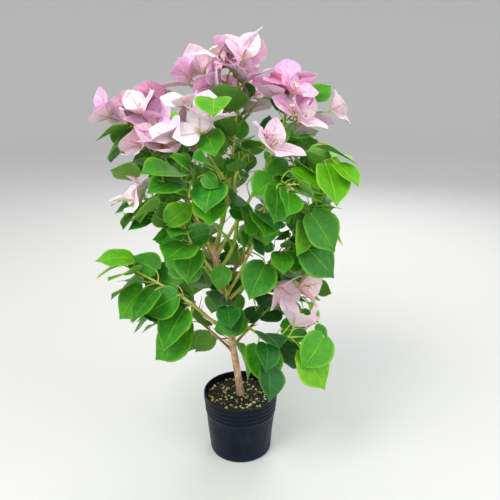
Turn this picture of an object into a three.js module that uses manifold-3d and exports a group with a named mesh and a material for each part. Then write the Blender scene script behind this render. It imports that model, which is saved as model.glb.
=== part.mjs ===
// A young bougainvillea bush in its nursery pot: a leaning woody stem, side boughs, and masses of
// heart-shaped leaves and papery bracts, each mass one solid of its own. Millimetres and degrees, +Z up.
// The origin is the middle of the pot's flat underside. The side that faces a viewer looks along +Y.
import * as THREE from "three";
import { mergeVertices } from "three/addons/utils/BufferGeometryUtils.js";
import Module from "manifold-3d";

const wasm = await Module();
wasm.setup();

// Pot and potting mix
const POT_MOUTH = 100;
const POT_BASE = 84;
const POT_HEIGHT = 88;
const POT_WALL = 1.2;
const POT_FLOOR = 1.6;
const POT_SIDES = 32;
const POT_FOOT_ROUND = 2.5;
const RIB_COUNT = 4;
const RIB_PITCH = 6.4;
const RIB_DEPTH = 1.1;
const RIM_DEPTH = 3.6;
const SOIL_LEVEL = 80;
const SEAT_GAP = 0.3;

// Woody stem: an old cutting with a sawn top
const TRUNK_HEIGHT = 218;
const TRUNK_LEAN = 34;
const TRUNK_BACK_LEAN = 4;
const TRUNK_BEND = 1.15;
const TRUNK_FOOT_RADIUS = 4.9;
const TRUNK_TOP_RADIUS = 3.9;
const FLARE = 1.9;
const FLARE_REACH = 6;
const TRUNK_SIDES = 10;
const TRUNK_STATIONS = [0, 0.02, 0.06, 0.16, 0.36, 0.56, 0.76, 0.92, 1];

// Shoots
const BOUGH_SIDES = 6;
const STEM_SIDES = 4;
const TWIG_SIDES = 3;
const BOUGH_STEPS = 4;
const STEM_STEPS = 5;
const TWIG_STEPS = 2;
const STEM_TIP_RADIUS = 1.0;
const TWIG_RADIUS = 1.1;
const TWIG_TIP_RADIUS = 0.8;
const STRAIGHT_ON = 0.42;
const NODE_GAP = 10;
const GOLDEN_TURN = 137.5;
const TWIG_ANGLE = 52;
const TWIG_LENGTH = 40;

// Leaves: a petiole and a heart-shaped blade in one
const LEAF_LENGTH = 52;
const LEAF_WIDTH = 0.42;
const LEAF_THICKNESS = 1.3;
const LEAF_FOLD = 0.05;
const LEAF_SAG = 0.16;
const LEAF_STATIONS = [0.1, 0.46, 1];
const PETIOLE_SHARE = 0.34;
const PETIOLE_RADIUS = 0.7;
const PETIOLE_ROOT_RADIUS = 0.45;
const PETIOLE_REACH = 30;

// Flowers: three papery bracts round one heart
const BRACT_LENGTH = 41;
const BRACT_WIDTH = 0.37;
const BRACT_THICKNESS = 1.2;
const BRACT_FOLD = 0.1;
const BRACT_SAG = 0.1;
const BRACT_STATIONS = [0.34, 0.7, 1];
const BRACT_ROOT_RADIUS = 0.5;
const BRACT_ROOT_OUT = 0.5;
const BRACT_OPEN = 46;
const BRACT_SPINS = [0, 30, 60, 90];
const BLOOM_MIDDLE = 0.42;
const HEART_RADIUS = 2.2;
const HEART_LENGTH = 4;

// How far the crown reaches to both sides, the room that a mass keeps to itself, and the room that blades
// keep from limbs, from their own stem and twigs, and from each other, tried at points all over a blade
const CROWN_LEFT = -168;
const CROWN_RIGHT = 132;
const SPACE_MARGIN = 1.2;
const LIMB_MARGIN = 4;
const STEM_MARGIN = 2.5;
const LEAF_GAP = 5;
const BRACT_GAP = 5;
const BLADE_NEAR = 70;
const TWIG_TESTS = [0.3, 0.5, 0.7, 0.85, 1];
const FITTING_SIZES = [1, 0.85, 0.7];
const LEAF_TRIES = [0, 50, -50, 100, -100, 150];
const ALONG_TESTS = [0.06, 0.2, 0.36, 0.52, 0.68, 0.84, 1];
const ACROSS_TESTS = [-1, -0.5, 0, 0.5, 1];

// Boughs: name, parent, share of the parent's length where it starts, the point that it bends towards, its
// end where it enters a mass, and its radius at foot and tip. The places are read from the photograph.
const BOUGHS = [
  ["bough_leader", "trunk", 0.84, [5, -12, 300], [-5, -24, 376], 2.7, 2.0],
  ["bough_fork_left", "bough_leader", 0.9, [-16, -30, 388], [-30, -40, 412], 1.7, 1.4],
  ["bough_top", "trunk", 0.97, [-20, 12, 322], [-16, 12, 352], 2.4, 1.9],
  ["bough_right_high", "trunk", 0.92, [-4, 0, 325], [22, -6, 376], 2.4, 1.9],
  ["bough_centre_left", "bough_leader", 0.4, [-14, -28, 318], [-26, -40, 332], 1.8, 1.5],
  ["bough_centre_right", "bough_right_high", 0.55, [26, -16, 346], [38, -24, 358], 1.8, 1.5],
  ["bough_right_mid", "trunk", 0.62, [4, -4, 248], [32, -8, 268], 2.2, 1.8],
  ["bough_right_low", "trunk", 0.5, [0, -12, 198], [20, -28, 190], 1.9, 1.6],
  ["bough_left_long", "trunk", 0.46, [-30, -16, 192], [-48, -31, 220], 2.7, 2.2],
  ["bough_left_mid", "trunk", 0.76, [-42, -6, 276], [-60, -16, 308], 2.1, 1.7],
  ["bough_left_high", "trunk", 0.89, [-44, 2, 312], [-62, 2, 352], 2.3, 1.8],
  ["bough_front_left", "trunk", 0.69, [-32, -18, 256], [-44, -34, 284], 2.0, 1.7],
  ["bough_front_right", "trunk", 0.66, [-4, -8, 252], [10, -16, 288], 2.1, 1.8],
  ["bough_back_left", "trunk", 0.8, [-38, 22, 284], [-56, 38, 312], 2.2, 1.8],
  ["bough_back_right", "trunk", 0.72, [-2, 22, 266], [18, 38, 290], 2.2, 1.8],
  ["bough_back_high", "trunk", 0.87, [-26, 26, 322], [-18, 44, 352], 2.2, 1.8],
  ["bough_back_low", "trunk", 0.42, [-18, 28, 188], [-26, 46, 202], 1.9, 1.6],
  ["bough_left_low", "trunk", 0.3, [-28, 8, 162], [-48, 14, 178], 1.9, 1.6],
  ["bough_right_back_low", "trunk", 0.34, [8, 16, 170], [26, 28, 184], 1.9, 1.6],
];

// Each mass of foliage carries on from a bough's tip, or starts on the trunk, and its stem ends at "to".
// Twigs is how many side twigs the seeded rule gives the stem.
const MASSES = [
  { name: "foliage_crown_front", on: "bough_leader", to: [14, -34, 426], twigs: 3, seed: 11 },
  { name: "foliage_crown_left", on: "bough_fork_left", to: [-46, -50, 444], twigs: 3, seed: 12 },
  { name: "foliage_crown_top", on: "bough_top", to: [0, 0, 494], twigs: 4, seed: 13 },
  { name: "foliage_crown_right", on: "bough_right_high", to: [54, -8, 456], twigs: 3, seed: 14 },
  { name: "foliage_centre_left", on: "bough_centre_left", to: [-50, -80, 396], twigs: 3, seed: 29 },
  { name: "foliage_centre_right", on: "bough_centre_right", to: [82, -48, 418], twigs: 3, seed: 30 },
  { name: "foliage_right_mid", on: "bough_right_mid", to: [96, 0, 352], twigs: 3, seed: 15 },
  { name: "foliage_right_low", on: "bough_right_low", to: [60, -46, 192], twigs: 2, seed: 16 },
  { name: "foliage_left_long", on: "bough_left_long", to: [-138, -54, 292], twigs: 4, seed: 17 },
  { name: "foliage_left_mid", on: "bough_left_mid", to: [-106, -32, 360], twigs: 4, seed: 18 },
  { name: "foliage_left_high", on: "bough_left_high", to: [-108, 2, 440], twigs: 3, seed: 19 },
  { name: "foliage_front_left", on: "bough_front_left", to: [-64, -58, 346], twigs: 3, seed: 20 },
  { name: "foliage_front_right", on: "bough_front_right", to: [34, -44, 370], twigs: 3, seed: 21 },
  { name: "foliage_back_left", on: "bough_back_left", to: [-98, 74, 402], twigs: 4, seed: 22 },
  { name: "foliage_back_right", on: "bough_back_right", to: [74, 68, 386], twigs: 4, seed: 23 },
  { name: "foliage_back_high", on: "bough_back_high", to: [-6, 80, 448], twigs: 4, seed: 24 },
  { name: "foliage_back_low", on: "bough_back_low", to: [-44, 100, 244], twigs: 4, seed: 25 },
  { name: "foliage_left_low", on: "bough_left_low", to: [-110, 28, 222], twigs: 4, seed: 26 },
  { name: "foliage_right_back_low", on: "bough_right_back_low", to: [86, 52, 228], twigs: 4, seed: 27 },
  { name: "foliage_front_low", on: "trunk", at: 0.56, to: [-16, -36, 236], twigs: 1, seed: 28 },
];

// The flowers, by mass and middle. Those at the back stand where flowers would on the side out of view.
const BLOOMS = {
  foliage_crown_front: [[41, -58, 436]],
  foliage_crown_left: [[-32, -64, 466], [-68, -52, 450]],
  foliage_crown_top: [[-4, 0, 538], [10, -6, 509], [-34, 4, 499], [-68, 10, 503]],
  foliage_crown_right: [[42, -16, 492], [64, 0, 492], [76, -26, 464]],
  foliage_left_high: [[-124, 0, 430], [-142, 10, 464], [-106, 18, 480], [-88, -22, 434]],
  foliage_left_mid: [[-124, -32, 374]],
  foliage_right_mid: [[55, -22, 245], [88, -22, 250]],
  foliage_right_low: [[72, -42, 220]],
  foliage_back_left: [[-112, 80, 424], [-84, 88, 420]],
  foliage_back_right: [[92, 74, 408], [64, 84, 412]],
  foliage_back_high: [[-22, 84, 472], [14, 86, 468]],
};

// The leaves that show from the front as shapes of their own: middle, length, and where the tip points as
// seen from the front, from 0 straight down to 90 to the right
const LEAVES = {
  foliage_centre_right: [[42, -50, 396, 45, -45]],
  foliage_right_mid: [[74, -26, 282, 46, 80], [99, -30, 288, 58, 36], [101, -42, 328, 55, 23]],
  foliage_right_low: [[92, -66, 182, 50, -35], [36, -32, 152, 36, 10]],
  foliage_left_long: [[-134, -52, 241, 50, -34], [-93, -62, 243, 46, -55], [-85, -62, 190, 55, -42]],
  foliage_front_left: [[-61, -62, 298, 45, 116], [-62, -72, 361, 42, 144], [-56, -44, 322, 44, -80]],
  foliage_front_right: [[22, -44, 267, 50, -27], [15, -48, 354, 50, 85]],
  foliage_front_low: [[-13, -34, 205, 42, -60], [-24, -50, 266, 42, -10]],
};
const TRUNK_SHOOT_RADIUS = 1.5;

const UP = new THREE.Vector3(0, 0, 1);
const radians = THREE.MathUtils.degToRad;
const vector = (x, y, z) => new THREE.Vector3(x, y, z);
const along = (from, direction, distance) => from.clone().addScaledVector(direction, distance);
const unit = (from, to) => to.clone().sub(from).normalize();

// Evenly spread numbers from 0 to 1 that are the same on every run
function seeded(seed) {
  let state = seed;
  return () => {
    state = (state * 1664525 + 1013904223) % 4294967296;
    return state / 4294967296;
  };
}

// A unit vector square to the direction, as near as may be to the one wanted
function squareTo(direction, wanted) {
  const across = along(wanted, direction, -wanted.dot(direction));
  return across.lengthSq() > 1e-9 ? across.normalize() : squareTo(direction, vector(1, 0.2, 0.1));
}

// The side of a shoot that lies at a turn round its direction
function sideOf(direction, turn) {
  const first = squareTo(direction, UP);
  const second = direction.clone().cross(first);
  return first.multiplyScalar(Math.cos(radians(turn))).addScaledVector(second, Math.sin(radians(turn)));
}

// The line that a shoot grows along, from its start past a point to its end, with its radius at each point
function shoot(start, via, end, steps, foot, tip) {
  const points = [];
  const radii = [];
  for (let i = 0; i <= steps; i++) {
    const t = i / steps;
    const point = start.clone().multiplyScalar((1 - t) * (1 - t));
    points.push(point.addScaledVector(via, 2 * t * (1 - t)).addScaledVector(end, t * t));
    radii.push(foot + (tip - foot) * t);
  }
  const length = (start.distanceTo(via) + via.distanceTo(end) + start.distanceTo(end)) / 2;
  return { points, radii, length };
}

// A shoot that carries on in a direction for a while and then bends to its end
function shootFrom(start, direction, end, steps, foot, tip) {
  const via = along(start, direction, STRAIGHT_ON * start.distanceTo(end));
  return shoot(start, via, end, steps, foot, tip);
}

// The point and direction at a share of a limb's length
function onLimb(limb, share) {
  const last = limb.points.length - 1;
  const place = Math.min(share * last, last - 1e-6);
  const i = Math.floor(place);
  const step = limb.points[i + 1].clone().sub(limb.points[i]);
  return { point: along(limb.points[i], step, place - i), direction: step.normalize() };
}

// Where a limb bears a side shoot that is to end at a place: the shoot is short, and leaves at a sharp angle
function nodeTowards(limb, place) {
  let best = null;
  for (let share = 0.1; share < 0.97; share += 0.06) {
    const node = onLimb(limb, share);
    const distance = node.point.distanceTo(place);
    const cost = distance - 22 * node.direction.dot(unit(node.point, place));
    if (best === null || cost < best.cost) best = { ...node, cost, distance };
  }
  return best;
}

// A closed solid through rings of points, each ring counter-clockwise seen from the end it leads to.
// A ring of one point closes the solid to a tip.
function skin(rings) {
  const starts = [];
  const points = [];
  const faces = [];
  for (const ring of rings) {
    starts.push(points.length);
    points.push(...ring);
  }
  for (let r = 0; r + 1 < rings.length; r++) {
    const [here, there] = [rings[r].length, rings[r + 1].length];
    const count = Math.max(here, there);
    for (let i = 0; i < count; i++) {
      const next = (i + 1) % count;
      const [a, b] = [starts[r] + (here > 1 ? i : 0), starts[r] + (here > 1 ? next : 0)];
      const [c, d] = [starts[r + 1] + (there > 1 ? i : 0), starts[r + 1] + (there > 1 ? next : 0)];
      if (here > 1) faces.push(a, b, d);
      if (there > 1) faces.push(a, d, c);
    }
  }
  const last = rings.length - 1;
  const cap = starts[last];
  for (let i = 1; i + 1 < rings[0].length; i++) faces.push(0, i + 1, i);
  for (let i = 1; i + 1 < rings[last].length; i++) faces.push(cap, cap + i, cap + i + 1);
  return new wasm.Manifold(
    new wasm.Mesh({
      numProp: 3,
      vertProperties: new Float32Array(points.flatMap((p) => p.toArray())),
      triVerts: new Uint32Array(faces),
    }),
  );
}

// Corners round a point, square to a direction, the first of them towards the side wanted
function ringRound(middle, direction, wanted, radius, sides) {
  const first = squareTo(direction, wanted);
  const second = direction.clone().cross(first);
  return Array.from({ length: sides }, (_, k) => {
    const angle = (k / sides) * 2 * Math.PI;
    return along(along(middle, first, radius * Math.cos(angle)), second, radius * Math.sin(angle));
  });
}

// The solid of a limb: one ring of corners square to its line at each of its points. A limb that stands on
// a face, or carries on from another limb's end, has its first ring square to "onto".
function limbSolid({ points, radii, onto }, sides, grow = 0) {
  const last = points.length - 1;
  let first = vector(1, 0, 0);
  const rings = points.map((point, i) => {
    const direction = unit(points[Math.max(i - 1, 0)], points[Math.min(i + 1, last)]);
    if (onto && i === 0) direction.copy(onto);
    first = squareTo(direction, first);
    return ringRound(point, direction, first, radii[i] + grow, sides);
  });
  return skin(rings);
}

function meshOf(name, solid, material) {
  const made = solid.getMesh();
  const geometry = new THREE.BufferGeometry();
  geometry.setAttribute("position", new THREE.BufferAttribute(made.vertProperties, 3));
  geometry.setIndex(new THREE.BufferAttribute(made.triVerts, 1));
  geometry.computeVertexNormals();
  const mesh = new THREE.Mesh(geometry, material);
  mesh.name = name;
  return mesh;
}

const paint = (color, roughness) => new THREE.MeshStandardMaterial({ color, roughness, metalness: 0 });
const MATERIALS = {
  pot: paint(0x15181d, 0.45),
  soil: paint(0x1d140e, 0.95),
  bark: paint(0x8a6a55, 0.8),
  greenStem: paint(0x9a9440, 0.6),
  foliage: paint(0x3f8f1f, 0.5),
  flowering: paint(0xe2b0cb, 0.6),
};

// Pot: a thin tapering tub with a few ribs under its rim
const potRadius = (z) => POT_BASE / 2 + ((POT_MOUTH - POT_BASE) / 2) * (z / POT_HEIGHT);

function lathe(profile) {
  const geometry = new THREE.LatheGeometry(profile, POT_SIDES);
  geometry.deleteAttribute("normal");
  geometry.deleteAttribute("uv");
  return mergeVertices(geometry.rotateX(Math.PI / 2), 1e-4);
}

function potMesh() {
  const ribsTop = POT_HEIGHT - RIM_DEPTH;
  const ribsFoot = ribsTop - RIB_COUNT * RIB_PITCH;
  const outside = [vector(0, 0), vector(POT_BASE / 2 - POT_FOOT_ROUND, 0)];
  outside.push(vector(potRadius(POT_FOOT_ROUND), POT_FOOT_ROUND));
  for (let i = 0; i < RIB_COUNT; i++) {
    const z = ribsFoot + i * RIB_PITCH;
    outside.push(vector(potRadius(z), z));
    outside.push(vector(potRadius(z) + RIB_DEPTH, z + RIB_PITCH / 2));
  }
  outside.push(vector(potRadius(ribsTop), ribsTop));
  outside.push(vector(POT_MOUTH / 2, POT_HEIGHT));
  const inside = [vector(POT_MOUTH / 2 - POT_WALL, POT_HEIGHT)];
  inside.push(vector(potRadius(POT_FLOOR) - POT_WALL, POT_FLOOR), vector(0, POT_FLOOR));
  const mesh = new THREE.Mesh(lathe([...outside, ...inside]), MATERIALS.pot);
  mesh.name = "pot";
  return mesh;
}

function soilMesh() {
  const foot = POT_FLOOR + SEAT_GAP;
  const room = (z) => potRadius(z) - POT_WALL - SEAT_GAP;
  const side = [vector(room(foot), foot), vector(room(SOIL_LEVEL), SOIL_LEVEL)];
  const mesh = new THREE.Mesh(lathe([vector(0, foot), ...side, vector(0, SOIL_LEVEL)]), MATERIALS.soil);
  mesh.name = "soil";
  return mesh;
}

// The trunk's point at a share of its height: it bends a little as it leans
function onTrunk(share) {
  const sideways = -TRUNK_LEAN * share ** TRUNK_BEND;
  return vector(sideways, TRUNK_BACK_LEAN * share, SOIL_LEVEL + TRUNK_HEIGHT * share);
}

// The trunk flares where it meets the soil
function trunkLimb() {
  const radii = TRUNK_STATIONS.map((share) => {
    const taper = TRUNK_FOOT_RADIUS + (TRUNK_TOP_RADIUS - TRUNK_FOOT_RADIUS) * share;
    return taper + FLARE * Math.exp((-share * TRUNK_HEIGHT) / FLARE_REACH);
  });
  return { points: TRUNK_STATIONS.map(onTrunk), radii, length: TRUNK_HEIGHT, onto: UP };
}

const limbs = new Map([["trunk", trunkLimb()]]);
for (const [name, from, at, via, to, foot, tip] of BOUGHS) {
  const start = from === "trunk" ? onTrunk(at) : onLimb(limbs.get(from), at).point;
  limbs.set(name, shoot(start, vector(...via), vector(...to), BOUGH_STEPS, foot, tip));
}

// The stem of a mass carries on from its bough's tip with the same thickness
function stemOf({ on, at, to }) {
  const end = vector(...to);
  if (on === "trunk") {
    const start = onTrunk(at);
    return shootFrom(start, unit(start, end), end, STEM_STEPS, TRUNK_SHOOT_RADIUS, STEM_TIP_RADIUS);
  }
  const bough = limbs.get(on);
  const { point, direction } = onLimb(bough, 1);
  const start = along(point, direction, SEAT_GAP);
  const stem = shootFrom(start, direction, end, STEM_STEPS, bough.radii.at(-1), STEM_TIP_RADIUS);
  return { ...stem, onto: direction };
}

const twigTo = ({ point, direction }, end) =>
  shootFrom(point, direction, end, TWIG_STEPS, TWIG_RADIUS, TWIG_TIP_RADIUS);

const outwardOf = (point) => vector(point.x + 20, point.y, 0).normalize();

// A flower whose middle is given: its axis, its heart and the twig that bears it
function bloomOf(stem, place) {
  const middle = vector(...place);
  const node = nodeTowards(stem, middle);
  const axis = unit(node.point, middle).addScaledVector(UP, 0.55).normalize();
  const heart = along(middle, axis, -BLOOM_MIDDLE * BRACT_LENGTH);
  return { axis, heart, twig: twigTo(node, heart) };
}

// A leaf whose blade's middle is given: how the blade lies, and the twig that bears it if it is far out
function leafOf(stem, [x, y, z, size, tipTurn]) {
  const middle = vector(x, y, z);
  const outward = outwardOf(middle);
  const normal = vector(outward.x * 0.35, -0.7, 0.62).normalize();
  const tipWay = vector(Math.sin(radians(tipTurn)), 0, -Math.cos(radians(tipTurn)));
  const axis = squareTo(normal, tipWay);
  const foot = along(middle, axis, -0.5 * size);
  const node = nodeTowards(stem, foot);
  const far = node.distance > PETIOLE_REACH;
  const twigEnd = along(foot, unit(node.point, foot), -0.4 * PETIOLE_REACH);
  const twig = far ? twigTo(node, twigEnd) : null;
  return { axis, normal, foot, size, twig, root: far ? twigEnd : node.point };
}

// What each mass grows at places of its own, before its seeded twigs and leaves
const plans = MASSES.map((mass) => {
  const stem = stemOf(mass);
  const blooms = (BLOOMS[mass.name] ?? []).map((place) => bloomOf(stem, place));
  const leaves = (LEAVES[mass.name] ?? []).map((place) => leafOf(stem, place));
  return { stem, blooms, leaves };
});

// The lines that a mass holds: points nearer to them than to those of any other mass are its own space
function linesOf({ stem, blooms, leaves }) {
  const lines = [stem.points];
  for (const { twig, heart, axis } of blooms) {
    lines.push([...twig.points, along(heart, axis, 0.7 * BRACT_LENGTH)]);
  }
  for (const { twig, root, foot, axis, size } of leaves) {
    if (twig) lines.push(twig.points);
    lines.push([root, foot, along(foot, axis, 0.9 * size)]);
  }
  return lines.map((points) => ({ points, box: new THREE.Box3().setFromPoints(points) }));
}

const held = plans.map(linesOf);
const limbLines = [...limbs.values()].map(({ points, radii }) => {
  return { points, thick: Math.max(...radii), box: new THREE.Box3().setFromPoints(points) };
});

function pointToStep(point, a, b) {
  const step = b.clone().sub(a);
  const share = THREE.MathUtils.clamp(point.clone().sub(a).dot(step) / step.lengthSq(), 0, 1);
  return point.distanceTo(along(a, step, share));
}

// Distance to a line, or anything above the limit if it is farther than that
function distanceTo({ points, box }, point, limit = Infinity) {
  if (box.distanceToPoint(point) > limit) return Infinity;
  return Math.min(...points.slice(1).map((next, i) => pointToStep(point, points[i], next)));
}

function inOwnSpace(point, own) {
  if (point.x < CROWN_LEFT || point.x > CROWN_RIGHT) return false;
  const room = Math.min(...held[own].map((line) => distanceTo(line, point))) + SPACE_MARGIN;
  return held.every((lines, i) => i === own || lines.every((line) => distanceTo(line, point, room) > room));
}

const clearOfLimbs = (point, margin) =>
  limbLines.every((line) => distanceTo(line, point, line.thick + margin) > line.thick + margin);

// Blades: a leaf's outline is a heart drawn out to a tip, a bract's is an oval
const leafOutline = (t) => Math.sin(Math.PI * t ** 0.6) ** 0.9 * (1 - 0.3 * t ** 3);
const bractOutline = (t) => Math.sin(Math.PI * t ** 0.72) ** 0.8;

// The point of a blade at a share of its length and of its half width, from -1 to 1
function onBlade(blade, t, across) {
  const { foot, axis, normal, size, width, fold, sag, outline } = blade;
  const sideways = normal.clone().cross(axis);
  const half = width * size * outline(t);
  const middle = along(along(foot, axis, size * t), normal, -size * sag * t * t);
  return along(along(middle, sideways, half * across), normal, half * fold * Math.abs(across));
}

// Three corners of a blade's section: both edges, and the midrib's underside
function bladeRings(blade, stations, thickness) {
  return stations.map((t) => {
    const middle = onBlade(blade, t, 0);
    if (blade.outline(t) < 0.01) return [middle];
    return [onBlade(blade, t, 1), onBlade(blade, t, -1), along(middle, blade.normal, -thickness)];
  });
}

// A petiole's corners in the order that a blade's section has
function petioleRing(middle, direction, normal, radius) {
  const under = squareTo(direction, normal).negate();
  const [third, first, second] = ringRound(middle, direction, under, radius, 3);
  return [first, second, third];
}

const pointsOf = (blade) =>
  ALONG_TESTS.flatMap((t) => ACROSS_TESTS.map((across) => onBlade(blade, t, across)));

// The blades grown so far, each as its middle and its points
const blades = [];

function clearOfBlades(points, gap) {
  const middle = points[Math.floor(points.length / 2)];
  const near = blades.filter((other) => other.middle.distanceTo(middle) < BLADE_NEAR);
  return near.every((other) => points.every((p) => other.points.every((q) => p.distanceTo(q) > gap)));
}

const keepBlade = (points) => blades.push({ middle: points[Math.floor(points.length / 2)], points });

// Grows one mass: the solids of its stem, twigs, leaves and flowers, each sunk into what bears it. What has
// a place of its own comes first, in all masses, and the rest is grown by the seeded rule.
function growing(mass, own) {
  const random = seeded(mass.seed);
  const { stem, blooms, leaves } = plans[own];
  const parts = [limbSolid(stem, STEM_SIDES)];
  const counts = { leaves: 0, blooms: 0, skipped: [] };
  const shoots = [stem];

  const hasRoom = (points, gap) =>
    clearOfBlades(points, gap) && points.every((p) => clearOfLimbs(p, LIMB_MARGIN) && inOwnSpace(p, own));

  const clearOfShoots = (points) =>
    shoots.every((limb) => {
      const line = { points: limb.points, box: new THREE.Box3().setFromPoints(limb.points) };
      return points.every((p) => distanceTo(line, p, STEM_MARGIN) > STEM_MARGIN);
    });

  function addTwig(twig, shape = twig) {
    shoots.push(twig);
    parts.push(limbSolid(shape, TWIG_SIDES));
  }

  function addLeaf({ root, foot, axis, normal, size }, keepOffShoots = true) {
    const shape = { width: LEAF_WIDTH, fold: LEAF_FOLD, sag: LEAF_SAG, outline: leafOutline };
    const blade = { foot, axis, normal, size, ...shape };
    const points = pointsOf(blade);
    if (!hasRoom(points, LEAF_GAP) || (keepOffShoots && !clearOfShoots(points))) return false;
    keepBlade(points);
    const petiole = unit(root, foot);
    const rings = [petioleRing(root, petiole, normal, PETIOLE_ROOT_RADIUS)];
    rings.push(petioleRing(foot, petiole, normal, PETIOLE_RADIUS));
    parts.push(skin([...rings, ...bladeRings(blade, LEAF_STATIONS, LEAF_THICKNESS)]));
    counts.leaves += 1;
    return true;
  }

  // Three bracts round an axis, of which those are kept that have room
  function bractsOf({ axis, heart }, spin, opens, sizes) {
    const shape = { width: BRACT_WIDTH, fold: BRACT_FOLD, sag: BRACT_SAG, outline: bractOutline };
    const bracts = sizes.map((size, k) => {
      const out = sideOf(axis, spin + 120 * k);
      const open = radians(opens[k]);
      const way = along(axis.clone().multiplyScalar(Math.cos(open)), out, Math.sin(open));
      const inner = along(axis.clone().multiplyScalar(Math.sin(open)), out, -Math.cos(open));
      const foot = along(along(heart, axis, HEART_LENGTH / 2), out, BRACT_ROOT_OUT);
      return { foot, axis: way, normal: inner, size, ...shape };
    });
    return bracts.filter((bract) => hasRoom(pointsOf(bract), BRACT_GAP));
  }

  function addBloom(bloom) {
    const { axis, heart, twig } = bloom;
    const first = 360 * random();
    const opens = [0, 1, 2].map(() => BRACT_OPEN + 14 * (random() - 0.5));
    const sizes = [0, 1, 2].map(() => BRACT_LENGTH * (0.88 + 0.24 * random()));
    let bracts = [];
    for (const turn of BRACT_SPINS) {
      const kept = bractsOf(bloom, first + turn, opens, sizes);
      if (kept.length > bracts.length) bracts = kept;
    }
    if (bracts.length < 2) return false;
    const points = [...twig.points, along(heart, axis, HEART_LENGTH / 2), along(heart, axis, HEART_LENGTH)];
    addTwig(twig, { points, radii: [...twig.radii, HEART_RADIUS, TWIG_TIP_RADIUS] });
    for (const bract of bracts) {
      keepBlade(pointsOf(bract));
      const root = petioleRing(bract.foot, bract.axis, bract.normal, BRACT_ROOT_RADIUS);
      parts.push(skin([root, ...bladeRings(bract, BRACT_STATIONS, BRACT_THICKNESS)]));
    }
    counts.blooms += 1;
    return true;
  }

  // How a seeded leaf hangs: its blade turns up to the light and its tip hangs down
  function hang(limb, share, turn, size) {
    const { point, direction } = onLimb(limb, share);
    const side = sideOf(direction, turn);
    const petiole = direction.clone().multiplyScalar(0.55).add(side).addScaledVector(UP, 0.3).normalize();
    const outward = outwardOf(point);
    const droop = 0.15 + 1.15 * random();
    const axis = petiole.clone().addScaledVector(outward, 0.55).addScaledVector(UP, -droop).normalize();
    const light = along(UP, outward, 0.75);
    const normal = squareTo(axis, light).applyAxisAngle(axis, radians(30 * (random() - 0.5)));
    return { root: point, foot: along(point, petiole, size * PETIOLE_SHARE), axis, normal, size };
  }

  function growPlaced() {
    blooms.forEach((bloom, i) => {
      if (!addBloom(bloom)) counts.skipped.push(`bloom ${i}`);
    });
    leaves.forEach((leaf, i) => {
      const fits = FITTING_SIZES.some((share) => addLeaf({ ...leaf, size: share * leaf.size }, false));
      if (fits && leaf.twig) addTwig(leaf.twig);
      if (!fits) counts.skipped.push(`leaf ${i}`);
    });
  }

  function growTwigs() {
    const spin = 360 * random();
    for (let k = 0; k < mass.twigs; k++) {
      const node = onLimb(stem, (k + 0.8) / (mass.twigs + 0.3));
      const side = sideOf(node.direction, spin + GOLDEN_TURN * k * 1.5);
      const way = node.direction.clone().multiplyScalar(Math.cos(radians(TWIG_ANGLE)));
      way.addScaledVector(side, Math.sin(radians(TWIG_ANGLE)));
      const length = TWIG_LENGTH * (0.75 + 0.5 * random());
      const end = along(along(node.point, way, length), UP, 0.15 * length);
      const twig = twigTo({ point: node.point, direction: way }, end);
      const free = TWIG_TESTS.every((share) => {
        const { point } = onLimb(twig, share);
        if (!inOwnSpace(point, own) || !clearOfLimbs(point, LIMB_MARGIN / 2)) return false;
        return clearOfBlades([point], STEM_MARGIN);
      });
      if (free) addTwig(twig);
    }
  }

  function growLeaves() {
    for (const limb of shoots) {
      const count = Math.max(1, Math.round(limb.length / NODE_GAP));
      const turn = 360 * random();
      for (let n = 0; n < count; n++) {
        const share = (n + 0.8) / (count + 0.1);
        const size = LEAF_LENGTH * (1.1 - 0.4 * share) * (0.82 + 0.34 * random());
        LEAF_TRIES.some((more) => addLeaf(hang(limb, share, turn + GOLDEN_TURN * n + more, size)));
      }
    }
  }

  return { parts, counts, growPlaced, growTwigs, growLeaves };
}

const group = new THREE.Group();
group.add(potMesh(), soilMesh());
group.add(meshOf("trunk", limbSolid(limbs.get("trunk"), TRUNK_SIDES), MATERIALS.bark));
for (const [name, from] of BOUGHS) {
  const parent = limbSolid(limbs.get(from), from === "trunk" ? TRUNK_SIDES : BOUGH_SIDES, SEAT_GAP);
  group.add(meshOf(name, limbSolid(limbs.get(name), BOUGH_SIDES).subtract(parent), MATERIALS.greenStem));
}
const masses = MASSES.map(growing);
for (const mass of masses) mass.growPlaced();
for (const mass of masses) mass.growTwigs();
for (const mass of masses) mass.growLeaves();
MASSES.forEach((mass, own) => {
  const { parts, counts } = masses[own];
  let solid = wasm.Manifold.union(parts);
  if (mass.on === "trunk") solid = solid.subtract(limbSolid(limbs.get("trunk"), TRUNK_SIDES, SEAT_GAP));
  const flowering = counts.blooms * 3 > counts.leaves;
  const mesh = meshOf(mass.name, solid, flowering ? MATERIALS.flowering : MATERIALS.foliage);
  mesh.userData = counts;
  group.add(mesh);
});

export default group;
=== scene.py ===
# %% [markdown]
# # A young bougainvillea bush in its nursery pot
#
# The plant is an old woody cutting with a sawn top. Yellow-green shoots leave it on all sides, and each ends
# in a mass of heart-shaped leaves; the upper ones also carry flowers with large papery bracts in pale lilac
# pink. It stands in a thin black plastic pot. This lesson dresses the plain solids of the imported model: the
# pot, the potting mix and the trunk are modelled with the usual tools, and the shoots, leaves and flowers are
# grown by the same seeded rule as the solids, then carried on to finer twigs.

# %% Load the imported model
import math

import bmesh
import bpy
import numpy as np
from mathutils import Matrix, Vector, noise
from mathutils.bvhtree import BVHTree


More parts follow.
